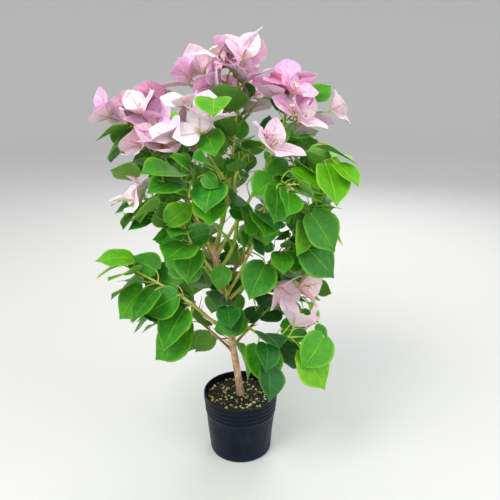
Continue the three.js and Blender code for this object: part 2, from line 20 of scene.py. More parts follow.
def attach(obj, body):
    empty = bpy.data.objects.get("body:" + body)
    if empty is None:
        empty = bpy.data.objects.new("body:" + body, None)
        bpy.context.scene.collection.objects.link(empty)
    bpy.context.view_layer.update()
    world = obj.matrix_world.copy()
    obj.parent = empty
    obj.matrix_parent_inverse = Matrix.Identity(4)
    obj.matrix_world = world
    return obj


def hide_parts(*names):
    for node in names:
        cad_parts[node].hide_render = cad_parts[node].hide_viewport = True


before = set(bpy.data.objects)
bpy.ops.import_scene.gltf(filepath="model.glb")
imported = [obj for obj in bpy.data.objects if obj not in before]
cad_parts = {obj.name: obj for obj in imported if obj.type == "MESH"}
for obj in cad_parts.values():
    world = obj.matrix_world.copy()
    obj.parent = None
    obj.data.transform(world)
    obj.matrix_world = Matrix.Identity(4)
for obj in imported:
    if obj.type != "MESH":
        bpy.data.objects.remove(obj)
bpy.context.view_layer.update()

MM = 0.001

# %% [markdown]
# ## The camera, the light and the floor
#
# The photograph looks down on the plant from a little above its top. The camera's place was worked out from
# the ellipse of the pot's mouth. A broad soft light from the upper left, weaker ones from the right, from far
# in front and from behind, and a pale sky come close to the bright cloudy day of the photograph.

# %% Camera
CAMERA_PLACE = (0.013, -0.683, 0.521)
CAMERA_TILT = 18.6
CAMERA_LENS = 41.0
SKY_COLOUR = (0.93, 0.95, 0.97, 1)
SKY_STRENGTH = 0.68

camera_data = bpy.data.cameras.new("camera")
camera_data.lens = CAMERA_LENS
camera = bpy.data.objects.new("camera", camera_data)
camera.location = CAMERA_PLACE
camera.rotation_euler = (math.radians(90 - CAMERA_TILT), 0, 0)
bpy.context.scene.collection.objects.link(camera)
bpy.context.scene.camera = camera


# %% Lights and sky
def add_light(name, place, aim, size, power, colour):
    """A square soft light at a place, facing another."""
    data = bpy.data.lights.new(name, "AREA")
    data.size = size
    data.energy = power
    data.color = colour
    light = bpy.data.objects.new(name, data)
    light.location = place
    light.rotation_euler = (Vector(aim) - Vector(place)).to_track_quat("-Z", "Y").to_euler()
    bpy.context.scene.collection.objects.link(light)


add_light("key_light", (-0.7, -0.8, 1.6), (0, 0, 0.3), 0.8, 17, (1.0, 0.985, 0.95))
add_light("side_light", (1.2, -0.6, 0.9), (0, 0, 0.3), 1.0, 7, (0.94, 0.97, 1.0))
add_light("front_light", (-0.5, -2.2, 2.0), (0, 0, 0.36), 1.5, 13, (1.0, 0.99, 0.98))
add_light("back_light", (0.3, 1.3, 1.1), (0, 0, 0.35), 0.9, 9, (1.0, 1.0, 1.0))
world = bpy.data.worlds.new("sky")
bpy.context.scene.world = world
world.use_nodes = True
world.node_tree.nodes["Background"].inputs["Color"].default_value = SKY_COLOUR
world.node_tree.nodes["Background"].inputs["Strength"].default_value = SKY_STRENGTH
bpy.context.scene.view_settings.view_transform = "Standard"


# %% [markdown]
# ## Tools for the pieces
#
# An operator acts on everything that is selected, so each step starts with nothing selected. Round pieces
# start from a round face, which is then extruded. A finished piece has its place in its mesh and rides on the
# model's one body. The CAD nodes that it stands for are hidden.

# %% Helpers for pieces
def select_none():
    """Leaves edit mode, with nothing selected."""
    if bpy.context.object and bpy.context.object.mode != "OBJECT":
        bpy.ops.object.mode_set(mode="OBJECT")
    bpy.ops.object.select_all(action="DESELECT")


def pick(piece):
    """Makes a piece the only one selected, and the active one."""
    select_none()
    piece.select_set(True)
    bpy.context.view_layer.objects.active = piece


def start_round(corners, radius, place=(0, 0, 0)):
    """A round face in edit mode, selected, with its radius in metres."""
    select_none()
    bpy.ops.mesh.primitive_circle_add(vertices=corners, radius=radius, fill_type="NGON", location=place)
    bpy.ops.object.transform_apply(location=True)
    bpy.ops.object.mode_set(mode="EDIT")
    bpy.ops.mesh.select_all(action="SELECT")
    return bpy.context.object


def end_form():
    """Turns all faces outwards and leaves edit mode."""
    bpy.ops.mesh.select_all(action="SELECT")
    bpy.ops.mesh.normals_make_consistent(inside=False)
    bpy.ops.object.mode_set(mode="OBJECT")


def waver(x, y, z):
    """Smooth noise, from -1 to 1."""
    return noise.noise(Vector((x, y, z)))


def finish_piece(piece, name, replaced=(), finishes=(), angle=40):
    """Names a piece, gives it its finishes and smooth faces, and lets it ride on the model."""
    pick(piece)
    bpy.ops.object.transform_apply(location=True, rotation=True, scale=True)
    bpy.ops.object.shade_smooth_by_angle(angle=math.radians(angle))
    piece.name = name
    piece.data.name = name
    for finish in finishes:
        piece.data.materials.append(finish)
    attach(piece, "root")
    if replaced:
        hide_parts(*replaced)
    piece.data.calc_loop_triangles()
    print(f"{name}: {len(piece.data.loop_triangles)} triangles")


# %% [markdown]
# ## Writing a finish as arithmetic
#
# A finish is a net of nodes. Written as Python expressions it stays readable: `Field` holds one socket, and
# a sum or product with it, as in 1 - mask, adds the Math nodes that work it out. `Finish.node` makes any
# other node from its type, its settings and the values or links of its sockets.

# %% Field and Finish
class Field:
    """A value that changes over a surface."""

    def __init__(self, finish, socket):
        self.finish = finish
        self.socket = socket

    def maths(self, operation, *others):
        return self.finish.node("ShaderNodeMath", {"operation": operation}, dict(enumerate((self, *others))))

    def __add__(self, other):
        return self.maths("ADD", other)

    def __sub__(self, other):
        return self.maths("SUBTRACT", other)

    def __mul__(self, other):
        return self.maths("MULTIPLY", other)

    def __rsub__(self, other):
        return self * -1 + other

    __radd__ = __add__
    __rmul__ = __mul__

    def rise(self, low, high):
        """From 0 at low to 1 at high, smoothly, also with low above high."""
        sockets = {"Value": self, "From Min": low, "From Max": high}
        return self.finish.node("ShaderNodeMapRange", {"interpolation_type": "SMOOTHSTEP"}, sockets)


class Finish:
    """A material made of nodes round one Principled BSDF."""

    def __init__(self, name, **sockets):
        self.material = bpy.data.materials.new(name)
        self.material.use_nodes = True
        self.tree = self.material.node_tree
        self.shader = self.tree.nodes["Principled BSDF"]
        self.feed(self.shader, sockets)

    def feed(self, node, sockets):
        """Links or sets sockets by name or number; an underscore in a name stands for a space."""
        for key, value in sockets.items():
            name = key.replace("_", " ") if isinstance(key, str) else key
            if isinstance(value, Field):
                self.tree.links.new(value.socket, node.inputs[name])
            else:
                node.inputs[name].default_value = value

    def node(self, kind, settings=None, sockets=None, out=0):
        """Adds a node and gives one of its outputs."""
        made = self.tree.nodes.new(kind)
        for key, value in (settings or {}).items():
            setattr(made, key, value)
        self.feed(made, sockets or {})
        return Field(self, made.outputs[out])

    def place(self, scale=(1, 1, 1)):
        """Where a point is on the piece, in metres, stretched by a scale."""
        point = self.node("ShaderNodeTexCoord", out="Object")
        return self.node("ShaderNodeMapping", sockets={"Vector": point, "Scale": scale})

    def axis(self, point, number):
        """One of a point's three numbers: 0, 1 or 2."""
        return self.node("ShaderNodeSeparateXYZ", sockets={0: point}, out=number)

    def lie(self, number):
        """Across, along or chance, the numbers that a blade or shoot keeps for each of its points."""
        return self.axis(self.node("ShaderNodeAttribute", {"attribute_name": "lie"}, out="Vector"), number)

    def veins(self, across, along, count, lean, wander):
        """Side veins from the midrib to near the edge, a number of them, that run forward and wander."""
        line = ((along - across * lean) * count + wander).maths("FRACT") - 0.5
        return line.maths("ABSOLUTE").rise(0.06, 0.01) * across.rise(0.95, 0.5)

    def cloud(self, scale, detail, where=None):
        """Soft noise from 0 to 1, with so many blots to a metre."""
        sockets = {"Vector": where or self.place(), "Scale": scale, "Detail": detail}
        return self.node("ShaderNodeTexNoise", sockets=sockets)

    def blend(self, mask, first, second):
        """A colour between two, by a mask."""
        sockets = {"Factor": mask, 6: first, 7: second}
        return self.node("ShaderNodeMix", {"data_type": "RGBA"}, sockets, out=2)

    def bump(self, height, distance, strength):
        sockets = {"Height": height, "Distance": distance, "Strength": strength}
        return self.node("ShaderNodeBump", sockets=sockets)

    def give(self, **sockets):
        self.feed(self.shader, sockets)
        return self.material


def tint(red, green, blue):
    """A colour as seen on a screen, from 0 to 255, as the linear colour that a shader takes."""
    values = [v / 255 for v in (red, green, blue)]
    return (*(v / 12.92 if v <= 0.04045 else ((v + 0.055) / 1.055) ** 2.4 for v in values), 1.0)


# %% [markdown]
# ## The floor
#
# The floor is a wide round sheet of matt paper that curves up at its rim, so no line shows behind the plant.
# A flat floor and a wall would do as well, but their corner shows. The outer edge is extruded in short steps
# along a quarter of a circle, and then straight up.

# %% Floor
FLOOR_REACH = 3.0
FLOOR_CORNERS = 96
WALL_HEIGHT = 2.6
WALL_BEND = 1.4
BEND_STEPS = 8
PAPER_COLOUR = (222, 222, 220)

floor = start_round(FLOOR_CORNERS, FLOOR_REACH)
bpy.ops.mesh.select_all(action="DESELECT")
bpy.ops.mesh.select_mode(type="EDGE")
form = bmesh.from_edit_mesh(floor.data)
for edge in form.edges:
    edge.select_set(True)
bmesh.update_edit_mesh(floor.data)
reach, level = FLOOR_REACH, 0.0
for turn in range(1, BEND_STEPS + 1):
    angle = math.radians(turn * 90 / BEND_STEPS)
    wide, high = FLOOR_REACH + WALL_BEND * math.sin(angle), WALL_BEND * (1 - math.cos(angle))
    bpy.ops.mesh.extrude_edges_move(TRANSFORM_OT_translate={"value": (0, 0, high - level)})
    bpy.ops.transform.resize(value=(wide / reach, wide / reach, 1), center_override=(0, 0, high))
    reach, level = wide, high
bpy.ops.mesh.extrude_edges_move(TRANSFORM_OT_translate={"value": (0, 0, WALL_HEIGHT - level)})
bpy.ops.object.mode_set(mode="OBJECT")
floor.name = "floor"
for face in floor.data.polygons:
    face.use_smooth = True
floor_finish = Finish("floor_paper", Base_Color=tint(*PAPER_COLOUR), Roughness=0.9)
floor.data.materials.append(floor_finish.material)

# %% [markdown]
# ## The pot
#
# A 10 cm nursery pot is a thin tapering tub, blown from black plastic. Four shallow ribs under the rim
# stiffen it, the rim is a little thicker, and the thin wall is never quite even: it has soft dents and fine
# upright creases. It could be spun from its profile. Here one round face is extruded ring by ring, up the
# outside and down the inside, which closes the wall at once and gives rings whose points the dents can move.

# %% Pot sizes
POT_MOUTH = 100
POT_BASE = 84
POT_HEIGHT = 88
POT_WALL = 1.2
POT_FLOOR = 1.6
POT_FOOT_ROUND = 2.5
RIB_COUNT = 4
RIB_PITCH = 6.4
RIB_DEPTH = 1.1
RIM_DEPTH = 3.6
SOIL_LEVEL = 80
POT_POINTS = 96
RINGS_TO_A_RIB = 6
WALL_RINGS = 9
FOOT_TURNS = [0.0, 0.3, 0.6, 1.0]
# The rim's rings, as millimetres out from the mouth's radius, and up from the rim's foot or from the top.
RIM_FOOT = [(-0.1, 0.5), (0.35, 1.2)]
RIM_TOP = [(0.4, -0.5), (0, 0), (-POT_WALL, -0.1), (-POT_WALL - 0.4, -1.2)]
# Two rings of the wall's inside: how far under the soil's level and above the floor.
BELOW_SOIL = 2
ABOVE_FLOOR = 3
DENT_FREE_RADIUS = 30
DENT_FREE_HEIGHT = 2
DENT_DEPTH = 0.9
CREASE_DEPTH = 0.35


def pot_radius(z):
    return POT_BASE / 2 + (POT_MOUTH - POT_BASE) / 2 * z / POT_HEIGHT


def pot_profile():
    """Radius and height of each ring in turn, up the outside and down the inside."""
    top = POT_HEIGHT - RIM_DEPTH
    foot = top - RIB_COUNT * RIB_PITCH
    rings = []
    for turn in FOOT_TURNS:
        angle = turn * math.pi / 2
        away = POT_FOOT_ROUND * (1 - math.sin(angle))
        rings.append((pot_radius(POT_FOOT_ROUND) - away, POT_FOOT_ROUND * (1 - math.cos(angle))))
    for k in range(1, WALL_RINGS):
        z = POT_FOOT_ROUND + (foot - POT_FOOT_ROUND) * k / WALL_RINGS
        rings.append((pot_radius(z), z))
    for k in range(RIB_COUNT * RINGS_TO_A_RIB + 1):
        z = foot + RIB_PITCH * k / RINGS_TO_A_RIB
        rings.append((pot_radius(z) + RIB_DEPTH * math.sin(math.pi * k / RINGS_TO_A_RIB) ** 2, z))
    lip = POT_MOUTH / 2
    rings += [(lip + out, top + up) for out, up in RIM_FOOT]
    rings += [(lip + out, POT_HEIGHT + up) for out, up in RIM_TOP]
    for z in (top, SOIL_LEVEL - BELOW_SOIL, foot, POT_FLOOR + ABOVE_FLOOR, POT_FLOOR):
        rings.append((pot_radius(z) - POT_WALL, z))
    return rings


# %% Model the pot
def extrude_rings(rings):
    """Extrudes the selected face through rings of radius and height, in millimetres."""
    radius, height = rings[0]
    for next_radius, next_height in rings[1:]:
        step = (0, 0, (next_height - height) * MM)
        bpy.ops.mesh.extrude_region_move(TRANSFORM_OT_translate={"value": step})
        ratio = next_radius / radius
        bpy.ops.transform.resize(value=(ratio, ratio, 1), center_override=(0, 0, next_height * MM))
        radius, height = next_radius, next_height


def dent(point):
    """How far the thin wall stands out at a point, in metres: soft dents and upright creases."""
    x, y, z = point
    soft = waver(x * 28, y * 28, z * 22)
    crease = waver(x * 120, y * 120, z * 14 + 5)
    middle = math.sin(math.pi * min(max(z / (POT_HEIGHT * MM), 0), 1))
    return (DENT_DEPTH * soft + CREASE_DEPTH * crease) * MM * middle


profile = pot_profile()
pot = start_round(POT_POINTS, profile[0][0] * MM)
extrude_rings(profile)
end_form()
for vertex in pot.data.vertices:
    x, y, z = vertex.co
    reach = math.hypot(x, y)
    if reach > DENT_FREE_RADIUS * MM and z > DENT_FREE_HEIGHT * MM:
        vertex.co = (x + x / reach * dent(vertex.co), y + y / reach * dent(vertex.co), z)

# %% [markdown]
# The plastic is almost black with a cold blue sheen. Handling and dust leave it paler in faint upright
# streaks and cloudy patches, and splashed soil dulls it near its foot.

# %% Pot finish
pot_finish = Finish("pot_plastic")
streaks = pot_finish.cloud(260, 4, pot_finish.place((1, 1, 0.12)))
patches = pot_finish.cloud(38, 4)
height = pot_finish.axis(pot_finish.place(), 2)
dust = streaks.rise(0.45, 0.75) * 0.3 + patches.rise(0.5, 0.75) * 0.35 + height.rise(0.02, 0.0) * 0.3
plastic = pot_finish.blend(dust, tint(4, 13, 29), tint(24, 44, 70))
wrinkle = pot_finish.cloud(90, 3) + streaks * 0.5
pot_finish.give(
    Base_Color=plastic,
    Roughness=0.4 + dust * 0.3,
    Normal=pot_finish.bump(wrinkle, 0.0012, 0.35),
    Specular_IOR_Level=0.16,
)
finish_piece(pot, "pot_shell", ["pot"], [pot_finish.material])

# %% [markdown]
# ## The potting mix
#
# Moist peat, almost black, lies a little under the rim and is heaped round the trunk. A bumpy finish on a
# flat disc would look smooth from the side, so the mix is a cylinder whose top is divided finely and raised
# by noise.

# %% Potting mix
SOIL_POINTS = 72
SOIL_CUTS = 5
SOIL_GAP = 0.3
HEAP_HEIGHT = 2.4
HEAP_REACH = 0.32
RIM_FALL = 1.2
LUMP_HEIGHT = 1.5
CRUMB_HEIGHT = 0.9
soil_radius = pot_radius(SOIL_LEVEL) - POT_WALL - SOIL_GAP


def soil_height(x, y):
    """The level of the mix at a place, in metres."""
    away = math.hypot(x, y) / (soil_radius * MM)
    heap = HEAP_HEIGHT * math.exp(-(away / HEAP_REACH) ** 2) - RIM_FALL * away ** 2
    lumps = LUMP_HEIGHT * waver(x * 130, y * 130, 3) + CRUMB_HEIGHT * waver(x * 330, y * 330, 8)
    return (SOIL_LEVEL + heap + lumps * (1 - 0.4 * away)) * MM


select_none()
depth = (SOIL_LEVEL - POT_FLOOR - SOIL_GAP) * MM
bpy.ops.mesh.primitive_cylinder_add(
    vertices=SOIL_POINTS, radius=soil_radius * MM, depth=depth, end_fill_type="TRIFAN",
    location=(0, 0, SOIL_LEVEL * MM - depth / 2),
)
soil = bpy.context.object
bpy.ops.object.transform_apply(location=True)
bpy.ops.object.mode_set(mode="EDIT")
bpy.ops.mesh.select_all(action="DESELECT")
bpy.ops.mesh.select_mode(type="FACE")
form = bmesh.from_edit_mesh(soil.data)
for face in form.faces:
    face.select_set(face.normal.z > 0.9)
bmesh.update_edit_mesh(soil.data)
bpy.ops.mesh.subdivide(number_cuts=SOIL_CUTS)
bpy.ops.object.mode_set(mode="OBJECT")
foot_ratio = (pot_radius(POT_FLOOR) - POT_WALL - SOIL_GAP) / soil_radius
for vertex in soil.data.vertices:
    x, y, z = vertex.co
    if z > (SOIL_LEVEL - 1) * MM:
        vertex.co.z = soil_height(x, y)
    else:
        vertex.co = (x * foot_ratio, y * foot_ratio, z)

# %% Potting mix finish
soil_finish = Finish("potting_mix")
crumbs = soil_finish.cloud(900, 6)
damp = soil_finish.cloud(120, 3)
peat = soil_finish.blend(crumbs.rise(0.35, 0.7), tint(13, 11, 11), tint(44, 36, 30))
peat = soil_finish.blend(damp.rise(0.5, 0.8) * 0.6, peat, tint(12, 10, 11))
soil_finish.give(Base_Color=peat, Roughness=0.95, Normal=soil_finish.bump(crumbs, 0.0015, 0.8))
finish_piece(soil, "potting_mix", ["soil"], [soil_finish.material], angle=60)


# %% [markdown]
# ## Many small things at once
#
# Grains, leaves, bracts, petioles and twigs are repeated hundreds of times. Each is modelled once with the
# usual tools and read into arrays, and `Heap` gathers its placed copies into one mesh, each face with the
# number of its finish. A point may also keep three numbers of its own, here called its lie: how far across
# and along its blade it is, and a chance number for its blade. The first use is the litter on the mix: round
# pale beads of slow feed, and flatter crumbs that are mostly brown, all from one small stone that is copied,
# turned and squashed.

# %% Template and Heap
class Template:
    """The points, faces and finish numbers of a modelled shape; the shape itself is then removed."""

    def __init__(self, shape):
        mesh = shape.data
        self.points = np.array([v.co[:] for v in mesh.vertices])
        self.faces = [tuple(f.vertices) for f in mesh.polygons]
        self.slots = [f.material_index for f in mesh.polygons]
        lie = mesh.attributes.get("lie")
        count = len(self.points)
        self.lie = np.array([d.vector[:] for d in lie.data]) if lie else np.zeros((count, 3))
        bpy.data.objects.remove(shape, do_unlink=True)


class Heap:
    """Many placed copies, gathered for one mesh."""

    def __init__(self):
        self.points, self.lies, self.faces, self.slots, self.count = [], [], [], [], 0

    def add(self, points, faces, slots, lie=None):
        """Points are in millimetres. Slots is one finish number, or one for each face."""
        self.faces += [tuple(i + self.count for i in face) for face in faces]
        self.slots += slots if isinstance(slots, list) else [slots] * len(faces)
        self.points.append(points)
        self.lies.append(np.zeros((len(points), 3)) if lie is None else lie)
        self.count += len(points)

    def piece(self, name, slot, replaced=(), finishes=(), angle=60):
        mesh = bpy.data.meshes.new(name)
        mesh.from_pydata((np.concatenate(self.points) * MM).tolist(), [], self.faces)
        mesh.polygons.foreach_set("material_index", self.slots)
        lie = mesh.attributes.new("lie", "FLOAT_VECTOR", "POINT")
        lie.data.foreach_set("vector", np.concatenate(self.lies).ravel())
        piece = bpy.data.objects.new(name, mesh)
        bpy.context.scene.collection.objects.link(piece)
        finish_piece(piece, name, replaced, finishes, angle)


# %% Grains on the mix
GRAIN_COUNT = 420
BEAD_COUNT = 95
# Evenness, size, height, and how often each has the colours below.
BEADS = ((0.85, 1.15), (1.2, 2.1), 0.85, [0.72, 0.2, 0.04, 0.04])
CRUMBS = ((0.55, 1.25), (0.45, 1.15), 0.7, [0.22, 0.1, 0.62, 0.06])
GRAIN_TINTS = {
    "grain_yellow": (206, 196, 104),
    "grain_cream": (228, 220, 176),
    "grain_brown": (70, 52, 38),
    "grain_moss": (120, 140, 46),
}

select_none()
bpy.ops.mesh.primitive_ico_sphere_add(subdivisions=2, radius=1)
grain = Template(bpy.context.object)
chance = np.random.default_rng(7)
grains = Heap()
for k in range(GRAIN_COUNT):
    angle = chance.uniform(0, 2 * math.pi)
    away = (soil_radius - 2) * math.sqrt(chance.uniform(0.02, 1))
    x, y = away * math.cos(angle), away * math.sin(angle)
    even, size, tall, shares = BEADS if k < BEAD_COUNT else CRUMBS
    stretch = chance.uniform(*even, 3) * chance.uniform(*size) * (1, 1, tall)
    turn = chance.uniform(0, 2 * math.pi)
    across = np.array([[math.cos(turn), math.sin(turn), 0], [-math.sin(turn), math.cos(turn), 0], [0, 0, 1]])
    centre = np.array((x, y, soil_height(x * MM, y * MM) / MM + 0.2))
    kind = int(chance.choice(4, p=shares))
    grains.add((grain.points * stretch) @ across + centre, grain.faces, kind)
grain_finishes = []
for name, colour in GRAIN_TINTS.items():
    finish = Finish(name)
    speck = finish.cloud(1500, 2)
    dark = tuple(v * 0.7 for v in tint(*colour)[:3]) + (1.0,)
    body = finish.blend(speck.rise(0.35, 0.65), dark, tint(*colour))
    grain_finishes.append(finish.give(Base_Color=body, Roughness=0.7))
grains.piece("grains", "soil", finishes=grain_finishes, angle=30)

# %% [markdown]
# ## The trunk
#
# The trunk is a cutting about a centimetre thick. It leans to the left and bends a little as it rises, flares
# where it meets the mix, and was sawn off level at the top. Its bark is a dull pinkish tan with upright
# furrows, small raised pores and a few healed scars where old shoots were taken off. A curve with a round
# bevel would give its bend and taper, but not the sawn top with faces of its own. So one round face is
# extruded along the trunk's line, and the bark's relief then moves its points in and out.

# %% Trunk line
TRUNK_HEIGHT = 218
TRUNK_LEAN = 34
TRUNK_BACK_LEAN = 4
TRUNK_BEND = 1.15
TRUNK_FOOT_RADIUS = 4.9
TRUNK_TOP_RADIUS = 3.9
FLARE = 1.9
FLARE_REACH = 6
TRUNK_STATIONS = [0, 0.02, 0.06, 0.16, 0.36, 0.56, 0.76, 0.92, 1]
TRUNK_RINGS = 84
TRUNK_POINTS = 30
TRUNK_SUNK = 0.0015
RING_SPREAD = 1.15
# Two insets of the sawn top, each with its width and its rise in metres.
SAWN_INSETS = [(0.0006, 0.0003), (0.0012, -0.0002)]
SAWN_DEPTH = 0.001
# The bark lies further out than this share of the radius, and the sawn wood within it.
SKIN_FROM = 0.8
SWELL, FURROW, PLATE = 0.5, 0.28, 0.16
# A scar: share of the height, angle and size; then the reach of all, their raised rim and sunk middle.
TRUNK_SCARS = [(0.12, 250, 1.5), (0.27, 20, 1.2), (0.4, 150, 1.3), (0.53, 300, 1.6), (0.7, 90, 1.1)]
SCAR_HEIGHT = 4.0
SCAR_TURN = 42
SCAR_RISE = 0.55
SCAR_DIP = 0.4
DIP_SHARPNESS = 7


def vector(*values):
    return np.array(values, dtype=float)


def on_trunk(share):
    """The trunk's point at a share of its height."""
    sideways = -TRUNK_LEAN * share ** TRUNK_BEND
    return vector(sideways, TRUNK_BACK_LEAN * share, SOIL_LEVEL + TRUNK_HEIGHT * share)


def trunk_radius(share):
    taper = TRUNK_FOOT_RADIUS + (TRUNK_TOP_RADIUS - TRUNK_FOOT_RADIUS) * share
    return taper + FLARE * math.exp(-share * TRUNK_HEIGHT / FLARE_REACH)


# %% Model the trunk
def bark_relief(share, angle):
    """How far the bark stands out, in millimetres, at a share of the height and an angle in degrees."""
    a = math.radians(angle)
    x, y, z = math.cos(a), math.sin(a), share * TRUNK_HEIGHT
    furrows = waver(x * 2.6, y * 2.6, z * 0.05)
    plates = waver(x * 5.5, y * 5.5, z * 0.16 + 9)
    swell = waver(x * 0.8, y * 0.8, z * 0.03 + 20)
    relief = FURROW * furrows + PLATE * plates + SWELL * swell
    for scar_share, scar_angle, scar_size in TRUNK_SCARS:
        up = (share - scar_share) * TRUNK_HEIGHT / SCAR_HEIGHT
        sideways = ((angle - scar_angle + 180) % 360 - 180) / SCAR_TURN
        near = up * up + sideways * sideways
        relief += scar_size * SCAR_RISE * math.exp(-near)
        relief -= scar_size * SCAR_DIP * math.exp(-near * DIP_SHARPNESS)
    return relief


at, radius = on_trunk(0) * MM - (0, 0, TRUNK_SUNK), trunk_radius(0)
trunk = start_round(TRUNK_POINTS, radius * MM, at)
for k in range(TRUNK_RINGS + 1):
    share = (k / TRUNK_RINGS) ** RING_SPREAD
    there, wide = on_trunk(share) * MM, trunk_radius(share)
    bpy.ops.mesh.extrude_region_move(TRANSFORM_OT_translate={"value": tuple(there - at)})
    ratio = wide / radius
    bpy.ops.transform.resize(value=(ratio, ratio, 1), center_override=tuple(there))
    at, radius = there, wide
for thickness, depth in SAWN_INSETS:
    bpy.ops.mesh.inset(thickness=thickness, depth=depth)
bpy.ops.mesh.poke()
end_form()
sawn_level = (SOIL_LEVEL + TRUNK_HEIGHT) * MM
for vertex in trunk.data.vertices:
    share = min(max((vertex.co.z / MM - SOIL_LEVEL) / TRUNK_HEIGHT, 0), 1)
    middle = on_trunk(share) * MM
    out = Vector((vertex.co.x - middle[0], vertex.co.y - middle[1], 0))
    if out.length > SKIN_FROM * trunk_radius(share) * MM:
        angle = math.degrees(math.atan2(out.y, out.x)) % 360
        vertex.co += out.normalized() * bark_relief(share, angle) * MM
for face in trunk.data.polygons:
    face.material_index = int(face.normal.z > 0.8 and face.center.z > sawn_level - SAWN_DEPTH)

# %% [markdown]
# Two finishes: the bark, whose furrows are darker than its ridges and whose foot is stained by the mix, and
# the sawn wood, which has dried to a dull tan with faint rings and a dark edge.

# %% Trunk finishes
bark = Finish("bark")
grain_lines = bark.cloud(620, 5, bark.place((1, 1, 0.13)))
mottle = bark.cloud(70, 4)
pores = bark.node("ShaderNodeTexVoronoi", sockets={"Vector": bark.place((1, 1, 0.45)), "Scale": 330.0})
pore_mask = pores.rise(0.2, 0.08)
bark_height = bark.axis(bark.place(), 2)
skin_colour = bark.blend(mottle.rise(0.38, 0.62), tint(204, 154, 124), tint(242, 202, 170))
skin_colour = bark.blend(grain_lines.rise(0.52, 0.4) * 0.6, skin_colour, tint(128, 86, 66))
skin_colour = bark.blend(pore_mask * 0.5, skin_colour, tint(240, 210, 180))
skin_colour = bark.blend(bark_height.rise(0.094, 0.08) * 0.55, skin_colour, tint(48, 34, 26))
bark_bump = grain_lines * 0.8 + pore_mask * 0.4 + mottle * 0.4
bark.give(Base_Color=skin_colour, Roughness=0.72, Normal=bark.bump(bark_bump, 0.0009, 0.7))

sawn = Finish("sawn_wood")
top = on_trunk(1) * MM
point = sawn.node("ShaderNodeTexCoord", out="Object")
from_top = sawn.node("ShaderNodeVectorMath", {"operation": "DISTANCE"}, {0: point, 1: tuple(top)}, out=1)
rings = ((from_top + sawn.cloud(300, 2) * 0.0006) * 9000).maths("SINE")
wood_colour = sawn.blend(rings.rise(-0.6, 0.9) * 0.6, tint(196, 158, 118), tint(140, 104, 74))
wood_colour = sawn.blend(from_top.rise(0.0026, 0.0037), wood_colour, tint(92, 62, 46))
sawn.give(Base_Color=wood_colour, Roughness=0.8)
finish_piece(trunk, "trunk_bark", ["trunk"], [bark.material, sawn.material], angle=50)

# %% [markdown]
# ## How the plant grows
#
# The masses of leaves are grown by the rule that made the solids, written here again with the same sizes and
# the same seeds, so that every leaf lies where its solid lies. Sizes are in millimetres, angles in degrees. A
# limb is a bow from its start past a point to its end. A mass has one stem that carries on from its bough.
# First the flowers and leaves that have a place of their own are set, in all masses; then each stem gets side
# twigs by turns of the golden angle, and every shoot gets leaves at its joints. Whatever would leave the
# mass's own space, or come too near to a limb or to another blade, is left out.
#
# Where a size is a pair, the first number is the least of a chance value and the second how much it varies.

# %% Sizes of growth
SEAT_GAP = 0.3
BOUGH_STEPS = 4
STEM_STEPS = 5
TWIG_STEPS = 2
STEM_TIP_RADIUS = 1.0
TWIG_RADIUS = 1.1
TWIG_TIP_RADIUS = 0.8
TRUNK_SHOOT_RADIUS = 1.5
STRAIGHT_ON = 0.42
NODE_GAP = 10
NODE_FIRST = 0.1
NODE_LAST = 0.97
NODE_STEP = 0.06
NODE_ONWARD = 22
GOLDEN_TURN = 137.5
# Twigs divide their stem in steps, as many as twigs and SPARE more; the first stands FIRST steps along.
TWIG_FIRST = 0.8
TWIG_SPARE = 0.3
TWIG_TURN = 1.5
TWIG_ANGLE = 52
TWIG_LENGTH = 40
TWIG_LENGTHS = (0.75, 0.5)
TWIG_RISE = 0.15
LEAF_LENGTH = 52
LEAF_WIDTH = 0.42
LEAF_FOLD = 0.05
LEAF_SAG = 0.16
LEAF_SIZES = (0.82, 0.34)
# Leaves divide their shoot in the same way, and are smaller the nearer they stand to its tip.
LEAF_FIRST = 0.8
LEAF_SPARE = 0.1
LEAF_AT_FOOT = 1.1
LEAF_LOSS = 0.4
LEAF_DROOPS = (0.15, 1.15)
LEAF_OUTWARD = 0.55
LEAF_TO_LIGHT = 0.75
LEAF_FACING = (0.35, -0.7, 0.62)
LEAF_ROLL = 30
LEAF_HELD = 0.9
# The least painted light of a placed leaf, so that it is never painted in shade.
PLACED_LIGHT = 0.1
PETIOLE_ONWARD = 0.55
PETIOLE_RISE = 0.3
PETIOLE_SHARE = 0.34
# A leaf further than the reach gets a twig, which ends this share of the reach before the leaf.
PETIOLE_REACH = 30
PETIOLE_AFAR = 0.4
BRACT_LENGTH = 41
BRACT_WIDTH = 0.37
BRACT_FOLD = 0.1
BRACT_SAG = 0.1
BRACT_ROOT_OUT = 0.5
BRACT_OPEN = 46
OPEN_SPREAD = 14
BRACT_SIZES = (0.88, 0.24)
BRACT_SPINS = [0, 30, 60, 90]
BLOOM_MIDDLE = 0.42
BLOOM_RISE = 0.55
BLOOM_HELD = 0.7
HEART_LENGTH = 4
CROWN_MIDDLE = -20
CROWN_LEFT = -168
CROWN_RIGHT = 132
SPACE_MARGIN = 1.2
LIMB_MARGIN = 4
STEM_MARGIN = 2.5
LEAF_GAP = 5
BRACT_GAP = 5
BLADE_NEAR = 70
TWIG_TESTS = [0.3, 0.5, 0.7, 0.85, 1]
FITTING_SIZES = [1, 0.85, 0.7]
LEAF_TRIES = [0, 50, -50, 100, -100, 150]
ALONG_TESTS = [0.06, 0.2, 0.36, 0.52, 0.68, 0.84, 1]
ACROSS_TESTS = [-1, -0.5, 0, 0.5, 1]

